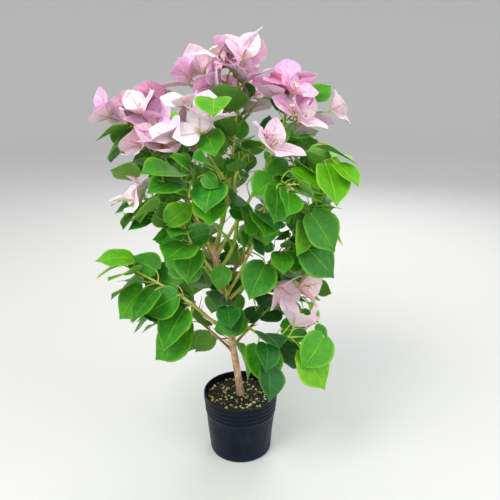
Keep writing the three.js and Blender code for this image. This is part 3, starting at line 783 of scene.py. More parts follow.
# %% Boughs, masses, flowers and leaves
# A bough: name, parent, share of the parent's length, point it bends towards, end, radii at foot and tip.
# A mass: name, limb it carries on from, share of the trunk's height, end of its stem, side twigs, seed.
# A flower has its middle; a leaf has its middle, its length and where its tip points, from 0 straight down.
BOUGHS = [
    ("bough_leader", "trunk", 0.84, (5, -12, 300), (-5, -24, 376), 2.7, 2.0),
    ("bough_fork_left", "bough_leader", 0.9, (-16, -30, 388), (-30, -40, 412), 1.7, 1.4),
    ("bough_top", "trunk", 0.97, (-20, 12, 322), (-16, 12, 352), 2.4, 1.9),
    ("bough_right_high", "trunk", 0.92, (-4, 0, 325), (22, -6, 376), 2.4, 1.9),
    ("bough_centre_left", "bough_leader", 0.4, (-14, -28, 318), (-26, -40, 332), 1.8, 1.5),
    ("bough_centre_right", "bough_right_high", 0.55, (26, -16, 346), (38, -24, 358), 1.8, 1.5),
    ("bough_right_mid", "trunk", 0.62, (4, -4, 248), (32, -8, 268), 2.2, 1.8),
    ("bough_right_low", "trunk", 0.5, (0, -12, 198), (20, -28, 190), 1.9, 1.6),
    ("bough_left_long", "trunk", 0.46, (-30, -16, 192), (-48, -31, 220), 2.7, 2.2),
    ("bough_left_mid", "trunk", 0.76, (-42, -6, 276), (-60, -16, 308), 2.1, 1.7),
    ("bough_left_high", "trunk", 0.89, (-44, 2, 312), (-62, 2, 352), 2.3, 1.8),
    ("bough_front_left", "trunk", 0.69, (-32, -18, 256), (-44, -34, 284), 2.0, 1.7),
    ("bough_front_right", "trunk", 0.66, (-4, -8, 252), (10, -16, 288), 2.1, 1.8),
    ("bough_back_left", "trunk", 0.8, (-38, 22, 284), (-56, 38, 312), 2.2, 1.8),
    ("bough_back_right", "trunk", 0.72, (-2, 22, 266), (18, 38, 290), 2.2, 1.8),
    ("bough_back_high", "trunk", 0.87, (-26, 26, 322), (-18, 44, 352), 2.2, 1.8),
    ("bough_back_low", "trunk", 0.42, (-18, 28, 188), (-26, 46, 202), 1.9, 1.6),
    ("bough_left_low", "trunk", 0.3, (-28, 8, 162), (-48, 14, 178), 1.9, 1.6),
    ("bough_right_back_low", "trunk", 0.34, (8, 16, 170), (26, 28, 184), 1.9, 1.6),
]
MASSES = [
    ("foliage_crown_front", "bough_leader", None, (14, -34, 426), 3, 11),
    ("foliage_crown_left", "bough_fork_left", None, (-46, -50, 444), 3, 12),
    ("foliage_crown_top", "bough_top", None, (0, 0, 494), 4, 13),
    ("foliage_crown_right", "bough_right_high", None, (54, -8, 456), 3, 14),
    ("foliage_centre_left", "bough_centre_left", None, (-50, -80, 396), 3, 29),
    ("foliage_centre_right", "bough_centre_right", None, (82, -48, 418), 3, 30),
    ("foliage_right_mid", "bough_right_mid", None, (96, 0, 352), 3, 15),
    ("foliage_right_low", "bough_right_low", None, (60, -46, 192), 2, 16),
    ("foliage_left_long", "bough_left_long", None, (-138, -54, 292), 4, 17),
    ("foliage_left_mid", "bough_left_mid", None, (-106, -32, 360), 4, 18),
    ("foliage_left_high", "bough_left_high", None, (-108, 2, 440), 3, 19),
    ("foliage_front_left", "bough_front_left", None, (-64, -58, 346), 3, 20),
    ("foliage_front_right", "bough_front_right", None, (34, -44, 370), 3, 21),
    ("foliage_back_left", "bough_back_left", None, (-98, 74, 402), 4, 22),
    ("foliage_back_right", "bough_back_right", None, (74, 68, 386), 4, 23),
    ("foliage_back_high", "bough_back_high", None, (-6, 80, 448), 4, 24),
    ("foliage_back_low", "bough_back_low", None, (-44, 100, 244), 4, 25),
    ("foliage_left_low", "bough_left_low", None, (-110, 28, 222), 4, 26),
    ("foliage_right_back_low", "bough_right_back_low", None, (86, 52, 228), 4, 27),
    ("foliage_front_low", "trunk", 0.56, (-16, -36, 236), 1, 28),
]
BLOOMS = {
    "foliage_crown_front": [(41, -58, 436)],
    "foliage_crown_left": [(-32, -64, 466), (-68, -52, 450)],
    "foliage_crown_top": [(-4, 0, 538), (10, -6, 509), (-34, 4, 499), (-68, 10, 503)],
    "foliage_crown_right": [(42, -16, 492), (64, 0, 492), (76, -26, 464)],
    "foliage_left_high": [(-124, 0, 430), (-142, 10, 464), (-106, 18, 480), (-88, -22, 434)],
    "foliage_left_mid": [(-124, -32, 374)],
    "foliage_right_mid": [(55, -22, 245), (88, -22, 250)],
    "foliage_right_low": [(72, -42, 220)],
    "foliage_back_left": [(-112, 80, 424), (-84, 88, 420)],
    "foliage_back_right": [(92, 74, 408), (64, 84, 412)],
    "foliage_back_high": [(-22, 84, 472), (14, 86, 468)],
}
LEAVES = {
    "foliage_centre_right": [(42, -50, 396, 45, -45)],
    "foliage_right_mid": [(74, -26, 282, 46, 80), (99, -30, 288, 58, 36), (101, -42, 328, 55, 23)],
    "foliage_right_low": [(92, -66, 182, 50, -35), (36, -32, 152, 36, 10)],
    "foliage_left_long": [(-134, -52, 241, 50, -34), (-93, -62, 243, 46, -55), (-85, -62, 190, 55, -42)],
    "foliage_front_left": [(-61, -62, 298, 45, 116), (-62, -72, 361, 42, 144), (-56, -44, 322, 44, -80)],
    "foliage_front_right": [(22, -44, 267, 50, -27), (15, -48, 354, 50, 85)],
    "foliage_front_low": [(-13, -34, 205, 42, -60), (-24, -50, 266, 42, -10)],
}

# %% Directions and chance
UP = np.array((0.0, 0.0, 1.0))


def seeded(seed):
    state = seed

    def draw():
        nonlocal state
        state = (state * 1664525 + 1013904223) % 4294967296
        return state / 4294967296

    return draw


def unit(way):
    return way / math.sqrt(way @ way)


def square_to(direction, wanted):
    across = wanted - direction * (wanted @ direction)
    return unit(across) if across @ across > 1e-9 else square_to(direction, vector(1, 0.2, 0.1))


def side_of(direction, turn):
    first = square_to(direction, UP)
    second = np.cross(direction, first)
    return first * math.cos(math.radians(turn)) + second * math.sin(math.radians(turn))


def rolled(normal, axis, degrees):
    """The normal, turned about the axis."""
    angle = math.radians(degrees)
    return normal * math.cos(angle) + np.cross(axis, normal) * math.sin(angle)


def bow(arch, count):
    """Evenly spread points on the bow from a start past a point to an end."""
    start, via, end = arch
    t = np.linspace(0, 1, count)[:, None]
    return start * (1 - t) ** 2 + via * 2 * t * (1 - t) + end * t ** 2


def span(a, b):
    return math.sqrt((b - a) @ (b - a))


def shoot(start, via, end, steps, foot, tip):
    arch = (start, via, end)
    radii = foot + (tip - foot) * np.linspace(0, 1, steps + 1)
    length = (span(start, via) + span(via, end) + span(start, end)) / 2
    return {"points": bow(arch, steps + 1), "radii": radii, "length": length, "arch": arch}


def shoot_from(start, direction, end, steps, foot, tip):
    via = start + direction * STRAIGHT_ON * span(start, end)
    return shoot(start, via, end, steps, foot, tip)


def on_limb(limb, share):
    points = limb["points"]
    last = len(points) - 1
    place = min(share * last, last - 1e-6)
    i = int(place)
    step = points[i + 1] - points[i]
    return points[i] + step * (place - i), unit(step)


def node_towards(limb, place):
    """The joint that bears something at a place: near it, on a part of the limb that points its way."""
    best = None
    share = NODE_FIRST
    while share < NODE_LAST:
        point, direction = on_limb(limb, share)
        distance = span(point, place)
        cost = distance - NODE_ONWARD * (direction @ unit(place - point))
        if best is None or cost < best[0]:
            best = (cost, point, direction, distance)
        share += NODE_STEP
    return best[1:]


def trunk_limb():
    points = np.array([on_trunk(share) for share in TRUNK_STATIONS])
    radii = np.array([trunk_radius(share) for share in TRUNK_STATIONS])
    return {"points": points, "radii": radii, "length": TRUNK_HEIGHT}


limbs = {"trunk": trunk_limb()}
for name, parent, at, via, to, foot, tip in BOUGHS:
    start = on_trunk(at) if parent == "trunk" else on_limb(limbs[parent], at)[0]
    limbs[name] = shoot(start, vector(*via), vector(*to), BOUGH_STEPS, foot, tip)


def stem_of(on, at, to):
    end = vector(*to)
    if on == "trunk":
        start = on_trunk(at)
        return shoot_from(start, unit(end - start), end, STEM_STEPS, TRUNK_SHOOT_RADIUS, STEM_TIP_RADIUS)
    point, direction = on_limb(limbs[on], 1)
    start = point + direction * SEAT_GAP
    return shoot_from(start, direction, end, STEM_STEPS, limbs[on]["radii"][-1], STEM_TIP_RADIUS)


def twig_to(point, direction, end):
    return shoot_from(point, direction, end, TWIG_STEPS, TWIG_RADIUS, TWIG_TIP_RADIUS)


def outward_of(point):
    return unit(vector(point[0] - CROWN_MIDDLE, point[1], 0))


def bloom_of(stem, place):
    middle = vector(*place)
    point, direction, _ = node_towards(stem, middle)
    axis = unit(unit(middle - point) + UP * BLOOM_RISE)
    heart = middle - axis * BLOOM_MIDDLE * BRACT_LENGTH
    return {"axis": axis, "heart": heart, "twig": twig_to(point, direction, heart)}


def leaf_of(stem, place):
    x, y, z, size, tip_turn = place
    middle = vector(x, y, z)
    out, front, up = LEAF_FACING
    normal = unit(vector(outward_of(middle)[0] * out, front, up))
    tip_way = vector(math.sin(math.radians(tip_turn)), 0, -math.cos(math.radians(tip_turn)))
    axis = square_to(normal, tip_way)
    foot = middle - axis * 0.5 * size
    point, direction, distance = node_towards(stem, foot)
    far = distance > PETIOLE_REACH
    end = foot - unit(foot - point) * PETIOLE_AFAR * PETIOLE_REACH
    twig = twig_to(point, direction, end) if far else None
    return {"axis": axis, "normal": normal, "foot": foot, "size": size, "twig": twig,
            "root": end if far else point, "light": PLACED_LIGHT}


# %% What each mass is to bear
plans = []
for name, on, at, to, twigs, seed in MASSES:
    stem = stem_of(on, at, to)
    blooms = [bloom_of(stem, place) for place in BLOOMS.get(name, [])]
    leaves = [leaf_of(stem, place) for place in LEAVES.get(name, [])]
    plans.append((stem, blooms, leaves))


# %% The space of each mass
def steps_of(lines):
    starts = np.concatenate([line[:-1] for line in lines])
    return starts, np.concatenate([line[1:] for line in lines]) - starts


def lines_of(stem, blooms, leaves):
    lines = [stem["points"]]
    for bloom in blooms:
        tip = bloom["heart"] + bloom["axis"] * BLOOM_HELD * BRACT_LENGTH
        lines.append(np.vstack([bloom["twig"]["points"], tip]))
    for leaf in leaves:
        if leaf["twig"]:
            lines.append(leaf["twig"]["points"])
        tip = leaf["foot"] + leaf["axis"] * LEAF_HELD * leaf["size"]
        lines.append(np.array([leaf["root"], leaf["foot"], tip]))
    return steps_of(lines)


def distances(points, steps):
    """From each point to each step of the lines."""
    starts, ways = steps
    apart = points[:, None] - starts
    share = np.clip((apart * ways).sum(2) / (ways * ways).sum(1), 0, 1)
    return np.linalg.norm(apart - share[..., None] * ways, axis=2)


held = [lines_of(*plan) for plan in plans]
owners = np.concatenate([np.full(len(held[i][0]), i) for i in range(len(held))])
all_held = (np.concatenate([h[0] for h in held]), np.concatenate([h[1] for h in held]))
limb_lines = steps_of([limb["points"] for limb in limbs.values()])
limb_thick = np.concatenate([np.full(len(l["points"]) - 1, l["radii"].max()) for l in limbs.values()])


def in_own_space(points, own):
    if points[:, 0].min() < CROWN_LEFT or points[:, 0].max() > CROWN_RIGHT:
        return False
    apart = distances(points, all_held)
    mine = owners == own
    return bool((apart[:, ~mine].min(1) > apart[:, mine].min(1) + SPACE_MARGIN).all())


def clear_of_limbs(points, margin):
    return bool((distances(points, limb_lines) > limb_thick + margin).all())


# %% Where a blade lies
def leaf_outline(t):
    return np.abs(np.sin(math.pi * t ** 0.6)) ** 0.9 * (1 - 0.3 * t ** 3)


def bract_outline(t):
    return np.abs(np.sin(math.pi * t ** 0.72)) ** 0.8


LEAF_SHAPE = (LEAF_WIDTH, LEAF_FOLD, LEAF_SAG, leaf_outline)
BRACT_SHAPE = (BRACT_WIDTH, BRACT_FOLD, BRACT_SAG, bract_outline)
t_tests, a_tests = (grid.ravel()[:, None] for grid in np.meshgrid(ALONG_TESTS, ACROSS_TESTS, indexing="ij"))


def points_of(foot, axis, normal, size, shape):
    width, fold, sag, outline = shape
    half = width * size * outline(t_tests)
    middle = foot + axis * size * t_tests - normal * size * sag * t_tests ** 2
    return middle + np.cross(normal, axis) * half * a_tests + normal * half * fold * np.abs(a_tests)


blades = []


def clear_of_blades(points, gap):
    middle = points[len(points) // 2]
    for other_middle, other in blades:
        if np.linalg.norm(other_middle - middle) < BLADE_NEAR:
            if np.linalg.norm(points[:, None] - other, axis=2).min() <= gap:
                return False
    return True


# %% [markdown]
# Each mass draws its own chance numbers, one after the other, so the order of the steps below is part of the
# rule. After the solids' own growth, a second and finer one fills the gaps, with less room asked for and
# within the reach of the solids. Smaller flowers open beside each large one, in clusters. One narrow leaf
# hangs beside the trunk, seen nearly from its edge. Small twigs then end in flowers high up in the flowering
# masses, and bear small leaves elsewhere. Masses whose limbs show bare get none, and no small leaf may stand
# before a flower as seen from the front.

# %% Sizes of fine growth
FLOWERING = ["foliage_crown_front", "foliage_crown_left", "foliage_crown_top", "foliage_crown_right",
             "foliage_left_high", "foliage_left_mid", "foliage_centre_right", "foliage_back_high"]
BARE_BELOW = ["foliage_front_low", "foliage_left_long", "foliage_right_low"]
BEARERS = [limbs[row[1]] if row[1] != "trunk" else None for row in MASSES]
CROWN_FRONT = -124
CROWN_BACK = 147
CROWN_TOP = 553
FINE_LIMB_MARGIN = 0.8
FINE_GAP = 2.0
FINE_BRACT_GAP = 1.1
FINE_TWIG_GAP = 1.0
FINE_NODE_GAP = 12
FINE_TWIG_LENGTH = 24
FINE_TWIG_LENGTHS = (0.5, 0.8)
FINE_TWIG_ONWARD = 0.7
FINE_TWIG_UP = 0.25
FINE_TWIG_RISE = 0.12
FINE_TWIG_RADII = (0.75, 0.5)
FINE_TWIG_TESTS = [0.5, 0.8, 1]
SMALL_LEAF_PLACES = [0.45, 0.75, 1.0]
SMALL_LEAF_TURNS = [0, 100, -100, 180]
SMALL_LEAF_SIZES = (0.58, 0.3)
SMALL_LEAF_AT_FOOT = 1.15
SMALL_LEAF_LOSS = 0.35
SMALL_LEAF_TILT = 0.9
TILT_BACK = 0.6
SMALL_LEAF_ROLL = 110
FLOWER_LEVEL = 426
FLOWER_LEVEL_SPREAD = 30
# A flower beside a large one: its turns, its place on the twig, its stalk and the way it looks.
SIDE_FLOWER_TURNS = [0, 120, 240]
SIDE_TURN_SPREAD = 60
SIDE_PLACES = (0.35, 0.5)
SIDE_REACHES = (12, 14)
SIDE_STALK_OUT = 1.2
SIDE_ONWARD = 0.6
SIDE_UP = 0.3
# How much a flower at the tip of a twig looks up and outwards.
TIP_UP = 0.6
TIP_OUT = 0.3
SIDE_BRACTS = (0.62, 0.35)
TIP_BRACTS = (0.66, 0.34)
SMALL_OPEN_SPREAD = 16
FEWEST_BRACTS = 2
NARROW_LEAVES = {"foliage_right_low": [(8, -30, 150, 48, 17)]}
# The narrow leaf's painted light, enough for the lit green.
NARROW_LIGHT = 0.5
EDGE_ON = -58
FLOWER_VIEW = 22
FRONT_FLOWERS = 20


# %% One mass
def leaf_points(leaf):
    return points_of(leaf["foot"], leaf["axis"], leaf["normal"], leaf["size"], LEAF_SHAPE)


def keep_blade(points):
    """Notes a blade, so that the next ones keep off it."""
    blades.append((points[len(points) // 2], points))


class Mass:
    def __init__(self, own):
        self.own = own
        self.name, _, _, _, self.twigs, seed = MASSES[own]
        self.random = seeded(seed)
        self.stem, self.blooms, self.placed = plans[own]
        self.shoots = [self.stem]
        self.leaves, self.flowers = [], []
        self.sprigs, self.small_leaves, self.side_flowers = [], [], []

    def draw(self, low, spread):
        return low + spread * self.random()

    def around(self, middle, spread):
        return middle + spread * (self.random() - 0.5)

    def has_room(self, points, gap):
        clear = clear_of_blades(points, gap) and clear_of_limbs(points, LIMB_MARGIN)
        return clear and in_own_space(points, self.own)

    def clear_of_shoots(self, points):
        steps = steps_of([s["points"] for s in self.shoots])
        return bool((distances(points, steps) > STEM_MARGIN).all())

    def add_leaf(self, leaf, keep_off_shoots=True):
        points = leaf_points(leaf)
        if not self.has_room(points, LEAF_GAP) or (keep_off_shoots and not self.clear_of_shoots(points)):
            return False
        keep_blade(points)
        self.leaves.append(leaf)
        return True

    def bracts_of(self, bloom, spin, opens, sizes):
        axis, heart = bloom["axis"], bloom["heart"]
        bracts = []
        for k in range(3):
            out = side_of(axis, spin + 120 * k)
            a = math.radians(opens[k])
            way = axis * math.cos(a) + out * math.sin(a)
            inner = axis * math.sin(a) - out * math.cos(a)
            foot = heart + axis * HEART_LENGTH / 2 + out * BRACT_ROOT_OUT
            points = points_of(foot, way, inner, sizes[k], BRACT_SHAPE)
            bracts.append({"foot": foot, "axis": way, "normal": inner, "size": sizes[k], "points": points,
                           "kept": self.has_room(points, BRACT_GAP)})
        return bracts

    def add_bloom(self, bloom):
        first = 360 * self.random()
        opens = [self.around(BRACT_OPEN, OPEN_SPREAD) for _ in range(3)]
        sizes = [BRACT_LENGTH * self.draw(*BRACT_SIZES) for _ in range(3)]
        best, most = [], 0
        for turn in BRACT_SPINS:
            bracts = self.bracts_of(bloom, first + turn, opens, sizes)
            kept = sum(b["kept"] for b in bracts)
            if kept > most:
                best, most = bracts, kept
        if most < 2:
            return False
        self.shoots.append(bloom["twig"])
        for bract in best:
            if bract["kept"]:
                keep_blade(bract["points"])
        self.flowers.append({**bloom, "bracts": best})
        return True

    def hang(self, limb, share, turn, size):
        point, direction = on_limb(limb, share)
        side = side_of(direction, turn)
        petiole = unit(direction * PETIOLE_ONWARD + side + UP * PETIOLE_RISE)
        outward = outward_of(point)
        axis = unit(petiole + outward * LEAF_OUTWARD - UP * self.draw(*LEAF_DROOPS))
        normal = square_to(axis, UP + outward * LEAF_TO_LIGHT)
        normal = rolled(normal, axis, self.around(0, LEAF_ROLL))
        return {"root": point, "foot": point + petiole * size * PETIOLE_SHARE, "axis": axis, "normal": normal,
                "size": size, "twig": None}

    def grow_placed(self):
        for bloom in self.blooms:
            self.add_bloom(bloom)
        for leaf in self.placed:
            sizes = [share * leaf["size"] for share in FITTING_SIZES]
            fits = any(self.add_leaf({**leaf, "size": size}, False) for size in sizes)
            if fits and leaf["twig"]:
                self.shoots.append(leaf["twig"])

    def grow_twigs(self):
        spin = 360 * self.random()
        for k in range(self.twigs):
            point, direction = on_limb(self.stem, (k + TWIG_FIRST) / (self.twigs + TWIG_SPARE))
            side = side_of(direction, spin + GOLDEN_TURN * k * TWIG_TURN)
            a = math.radians(TWIG_ANGLE)
            way = direction * math.cos(a) + side * math.sin(a)
            length = TWIG_LENGTH * self.draw(*TWIG_LENGTHS)
            end = point + way * length + UP * TWIG_RISE * length
            twig = twig_to(point, way, end)
            tests = np.array([on_limb(twig, share)[0] for share in TWIG_TESTS])
            free = in_own_space(tests, self.own) and clear_of_limbs(tests, LIMB_MARGIN / 2)
            if free and all(clear_of_blades(tests[i:i + 1], STEM_MARGIN) for i in range(len(tests))):
                self.shoots.append(twig)

    def grow_leaves(self):
        for limb in self.shoots:
            count = max(1, math.floor(limb["length"] / NODE_GAP + 0.5))
            turn = 360 * self.random()
            for n in range(count):
                share = (n + LEAF_FIRST) / (count + LEAF_SPARE)
                size = LEAF_LENGTH * (LEAF_AT_FOOT - LEAF_LOSS * share) * self.draw(*LEAF_SIZES)
                for more in LEAF_TRIES:
                    if self.add_leaf(self.hang(limb, share, turn + GOLDEN_TURN * n + more, size)):
                        break

    def has_some_room(self, points, gap):
        depths, top = points[:, 1], points[:, 2].max()
        if depths.min() < CROWN_FRONT or depths.max() > CROWN_BACK or top > CROWN_TOP:
            return False
        limbs_clear = clear_of_limbs(points, FINE_LIMB_MARGIN)
        return limbs_clear and in_own_space(points, self.own) and clear_of_blades(points, gap)

    def add_small_flower(self, point, direction, heart, axis, size):
        """A flower on a twig, with the bracts that have some room, if there are enough of them."""
        opens = [self.around(BRACT_OPEN, SMALL_OPEN_SPREAD) for _ in range(3)]
        new = {"axis": axis, "heart": heart, "twig": twig_to(point, direction, heart)}
        bracts = [b for b in self.bracts_of(new, 360 * self.random(), opens, [size] * 3)
                  if self.has_some_room(b["points"], FINE_BRACT_GAP)]
        if len(bracts) < FEWEST_BRACTS:
            return
        for bract in bracts:
            keep_blade(bract["points"])
        self.side_flowers.append({**new, "bracts": bracts})
        self.sprigs.append(new["twig"])

    def grow_side_flowers(self):
        """More flowers beside each, on short stalks from the same twig."""
        for bloom in list(self.flowers):
            for turn in SIDE_FLOWER_TURNS:
                point, direction = on_limb(bloom["twig"], self.draw(*SIDE_PLACES))
                side = side_of(direction, self.draw(turn, SIDE_TURN_SPREAD))
                axis = unit(bloom["axis"] * SIDE_ONWARD + side + UP * SIDE_UP)
                heart = point + unit(direction + side * SIDE_STALK_OUT) * self.draw(*SIDE_REACHES)
                size = BRACT_LENGTH * self.draw(*SIDE_BRACTS)
                self.add_small_flower(point, direction, heart, axis, size)

    def hang_narrow(self):
        """Leaves that hang edge-on to the front, from the mass's bough."""
        for place in NARROW_LEAVES.get(self.name, []):
            leaf = leaf_of(BEARERS[self.own], place)
            leaf["normal"] = rolled(leaf["normal"], leaf["axis"], EDGE_ON)
            # Painted light: the narrow leaf gets the lit green.
            leaf["light"] = NARROW_LIGHT
            points = leaf_points(leaf)
            if self.has_some_room(points, FINE_GAP):
                keep_blade(points)
                self.small_leaves.append(leaf)
                if leaf["twig"]:
                    self.sprigs.append(leaf["twig"])

    def grow_fine(self):
        """Small twigs between the large ones: flowers end them high up, and small leaves elsewhere."""
        bearer = BEARERS[self.own]
        if self.name in BARE_BELOW:
            return
        for limb in [bearer] * (bearer is not None) + list(self.shoots):
            count = max(1, round(limb["length"] / FINE_NODE_GAP))
            for n in range(count):
                share = (n + 0.5) / count
                turn = 360 * self.random()
                point, direction = on_limb(limb, share)
                side = side_of(direction, turn)
                way = unit(direction * FINE_TWIG_ONWARD + side + UP * FINE_TWIG_UP)
                length = FINE_TWIG_LENGTH * self.draw(*FINE_TWIG_LENGTHS)
                end = point + way * length + UP * FINE_TWIG_RISE * length
                twig = shoot_from(point, way, end, TWIG_STEPS, *FINE_TWIG_RADII)
                tests = np.array([on_limb(twig, t)[0] for t in FINE_TWIG_TESTS])
                high = end[2] > self.around(FLOWER_LEVEL, FLOWER_LEVEL_SPREAD)
                if high and self.name in FLOWERING:
                    size = BRACT_LENGTH * self.draw(*TIP_BRACTS)
                    axis = unit(way + UP * TIP_UP + outward_of(end) * TIP_OUT)
                    self.add_small_flower(point, way, end, axis, size)
                elif self.has_some_room(tests, FINE_TWIG_GAP):
                    self.sprigs.append(twig)
                    self.add_small_leaves(twig, SMALL_LEAF_PLACES)
                elif limb is not bearer:
                    self.add_small_leaves(limb, [share])

    def add_small_leaves(self, limb, places):
        for place in places:
            size = LEAF_LENGTH * self.draw(*SMALL_LEAF_SIZES)
            size *= SMALL_LEAF_AT_FOOT - SMALL_LEAF_LOSS * place
            for more in SMALL_LEAF_TURNS:
                leaf = self.hang(limb, place, 360 * self.random() + more, size)
                tilt = leaf["normal"] * SMALL_LEAF_TILT * (self.random() - TILT_BACK)
                leaf["axis"] = unit(leaf["axis"] + tilt)
                level = square_to(leaf["axis"], leaf["normal"])
                leaf["normal"] = rolled(level, leaf["axis"], self.around(0, SMALL_LEAF_ROLL))
                points = leaf_points(leaf)
                if self.has_some_room(points, FINE_GAP) and not hides_a_flower(points[len(points) // 2]):
                    keep_blade(points)
                    self.small_leaves.append(leaf)
                    break


def hides_a_flower(middle):
    """Whether a leaf here would stand before a flower, as seen from the front and a little above."""
    x, y, z = (flower_middles - middle).T
    level = z + y * math.tan(math.radians(CAMERA_TILT))
    return bool(((np.abs(x) < FLOWER_VIEW) & (np.abs(level) < FLOWER_VIEW) & (y > 0)).any())


# %% Grow all masses
masses = [Mass(i) for i in range(len(MASSES))]
for mass in masses:
    mass.grow_placed()
for mass in masses:
    mass.grow_twigs()
for mass in masses:
    mass.grow_leaves()
flower_middles = np.array([f["heart"] + f["axis"] * BLOOM_MIDDLE * BRACT_LENGTH
                           for mass in masses for f in mass.flowers if f["heart"][1] < FRONT_FLOWERS])
for mass in masses:
    mass.grow_side_flowers()
    mass.hang_narrow()
for mass in masses:
    mass.grow_fine()


def total(lists):
    return sum(len(grown) for grown in lists)


print("leaves:", total(m.leaves for m in masses), "small:", total(m.small_leaves for m in masses))
print("flowers:", total(m.flowers for m in masses), "beside:", total(m.side_flowers for m in masses))

# %% [markdown]
# ## Shoots
#
# A shoot is round and tapers evenly. It is swollen at its foot and at evenly spaced joints. Bevelled
# curves would do for a few, but there are hundreds, so one round section is carried along each line by
# arrays, always turned as little as the line allows, and the skin doesn't twist. The oldest shoots have a
# thin orange-brown bark, the others are yellow-green.

# %% Sweep a shoot
def sweep(heap, points, radii, sides, slot, lie=0.0):
    """Adds a closed round shoot along points, in millimetres."""
    ways = np.gradient(points, axis=0)
    first = square_to(unit(ways[0]), vector(0.3, 1, 0.2))
    rings = []
    for point, way, radius in zip(points, ways, radii):
        first = square_to(unit(way), first)
        second = np.cross(unit(way), first)
        turns = np.arange(sides) * 2 * math.pi / sides
        rings.append(point + radius * (np.cos(turns)[:, None] * first + np.sin(turns)[:, None] * second))
    faces = []
    for r in range(len(points) - 1):
        for i in range(sides):
            a, b = r * sides + i, r * sides + (i + 1) % sides
            faces.append((a, b, b + sides, a + sides))
    last = (len(points) - 1) * sides
    faces.append(tuple(range(sides - 1, -1, -1)))
    faces.append(tuple(last + i for i in range(sides)))
    along = np.repeat(np.linspace(0, 1, len(points)), sides)
    lies = np.stack([np.zeros_like(along), along, np.full_like(along, lie)], axis=1)
    heap.add(np.concatenate(rings), faces, slot, lies)


# %% Boughs
BOUGH_POINTS = 26
BOUGH_CORNERS = 14
COLLAR = 1.1
COLLAR_REACH = 2.4
BOUGH_RADIUS = 2.2
KNOT_WIDTH = 2.2
UNEVEN = 0.09
UNEVEN_SCALE = 0.22
OLD_SHOOTS = ["bough_left_low", "bough_back_low", "bough_right_back_low", "bough_back_left",
              "bough_back_right"]
GREEN_SHOOTS = ["bough_leader", "bough_fork_left", "bough_centre_left", "bough_top", "bough_front_left"]
OLD, YELLOW, GREENEST = range(3)


def knotty(points, radii, seed, joints=24.0, swell=0.22):
    """The radii with a swelling at each joint and a little unevenness."""
    run = np.concatenate([[0], np.cumsum(np.linalg.norm(np.diff(points, axis=0), axis=1))])
    bumps = np.exp(-(((run + seed * 5 + joints / 2) % joints - joints / 2) / KNOT_WIDTH) ** 2)
    uneven = np.array([waver(r * UNEVEN_SCALE, seed * 3.1, 0) for r in run])
    return np.asarray(radii) * (1 + swell * bumps + UNEVEN * uneven)


boughs = Heap()
for number, (name, parent, *_) in enumerate(BOUGHS):
    limb = limbs[name]
    points = bow(limb["arch"], BOUGH_POINTS)
    radii = np.linspace(limb["radii"][0], limb["radii"][-1], BOUGH_POINTS)
    run = np.linalg.norm(points - points[0], axis=1)
    bearer = trunk_radius(0.7) if parent == "trunk" else BOUGH_RADIUS
    radii = knotty(points, radii, number) + COLLAR * np.exp(-np.maximum(run - bearer, 0) / COLLAR_REACH)
    kind = OLD if name in OLD_SHOOTS else GREENEST if name in GREEN_SHOOTS else YELLOW
    sweep(boughs, points, radii, BOUGH_CORNERS, kind, number / len(BOUGHS))

# %% Shoot finishes
# The light and the dark of the skin, its furrows, its foot, and how rough it is.
SHOOT_LOOKS = {
    "shoot_old": ((204, 158, 98), (162, 118, 70), (112, 78, 48), (150, 104, 66), 0.7),
    "shoot_yellow": ((228, 222, 126), (190, 192, 76), (150, 140, 70), (200, 158, 84), 0.5),
    "shoot_green": ((176, 210, 66), (134, 180, 44), (110, 140, 44), (178, 170, 72), 0.45),
}


def shoot_finish(name, *colours, rough):
    """Green or barked skin with fine streaks, lighter in patches and browner towards its foot."""
    light, dark, furrow, foot = (tint(*colour) for colour in colours)
    finish = Finish(name)
    along = finish.lie(1)
    streak = finish.cloud(900, 4)
    patch = finish.cloud(55, 3)
    colour = finish.blend(patch.rise(0.36, 0.64), dark, light)
    colour = finish.blend((along + patch * 0.2).rise(0.4, 0.08) * 0.75, colour, foot)
    colour = finish.blend(streak.rise(0.5, 0.72) * 0.4, colour, furrow)
    bump = finish.bump(streak + patch * 0.5, 0.0005, 0.5)
    return finish.give(Base_Color=colour, Roughness=rough, Normal=bump)


shoot_finishes = [shoot_finish(name, *looks, rough=rough) for name, (*looks, rough) in SHOOT_LOOKS.items()]
boughs.piece("bough_skin", "green_stem", [row[0] for row in BOUGHS], shoot_finishes)

# %% Stems and twigs
STEM_POINTS = 22
STEM_CORNERS = 10
TWIG_POINTS = 9
TWIG_CORNERS = 7
TWIG_JOINTS = 17
TWIG_COLLAR = 0.5
TWIG_COLLAR_REACH = 0.8
TIP_TAPER = 0.8
STEM_SUNK = 1.5
stems = Heap()
for mass in masses:
    stem = mass.stem
    points = bow(stem["arch"], STEM_POINTS)
    points[0] -= unit(points[1] - points[0]) * STEM_SUNK
    radii = np.linspace(stem["radii"][0], stem["radii"][-1] * TIP_TAPER, STEM_POINTS)
    sweep(stems, points, knotty(points, radii, mass.own), STEM_CORNERS, YELLOW, mass.own / len(masses))
    for number, twig in enumerate(mass.shoots[1:] + mass.sprigs):
        points = bow(twig["arch"], TWIG_POINTS)
        radii = np.linspace(twig["radii"][0], twig["radii"][-1] * TIP_TAPER, TWIG_POINTS)
        collar = TWIG_COLLAR * np.exp(-np.arange(TWIG_POINTS) / TWIG_COLLAR_REACH)
        radii = knotty(points, radii, number, joints=TWIG_JOINTS) + collar
        sweep(stems, points, radii, TWIG_CORNERS, GREENEST, number / 9)

# %% [markdown]
# ## Leaves
#
# A leaf is a heart drawn out to a point, folded a little along its midrib, arched towards its tip and wavy at
# its edge. Young leaves are small and yellow-green, the large ones a fresh mid green. Light and shade among
# the
# leaves are painted: those deep in the plant get a darker, bluer green as painted shade, and those far out
# and high a brighter yellow-green as painted light. A blade could be cut out of a sheet along a curve, but a
# grid keeps rows that bends and veins can follow: each row of points is drawn in to the outline's width, and
# the edges are pushed forward along the side veins. It gets its thickness from a Solidify modifier, which
# also gives the underside a finish of its own. Each copy is then bent in its own way.

# %% Model a blade
BLADE_COLUMNS = 4
INNER_PUSH = 0.35


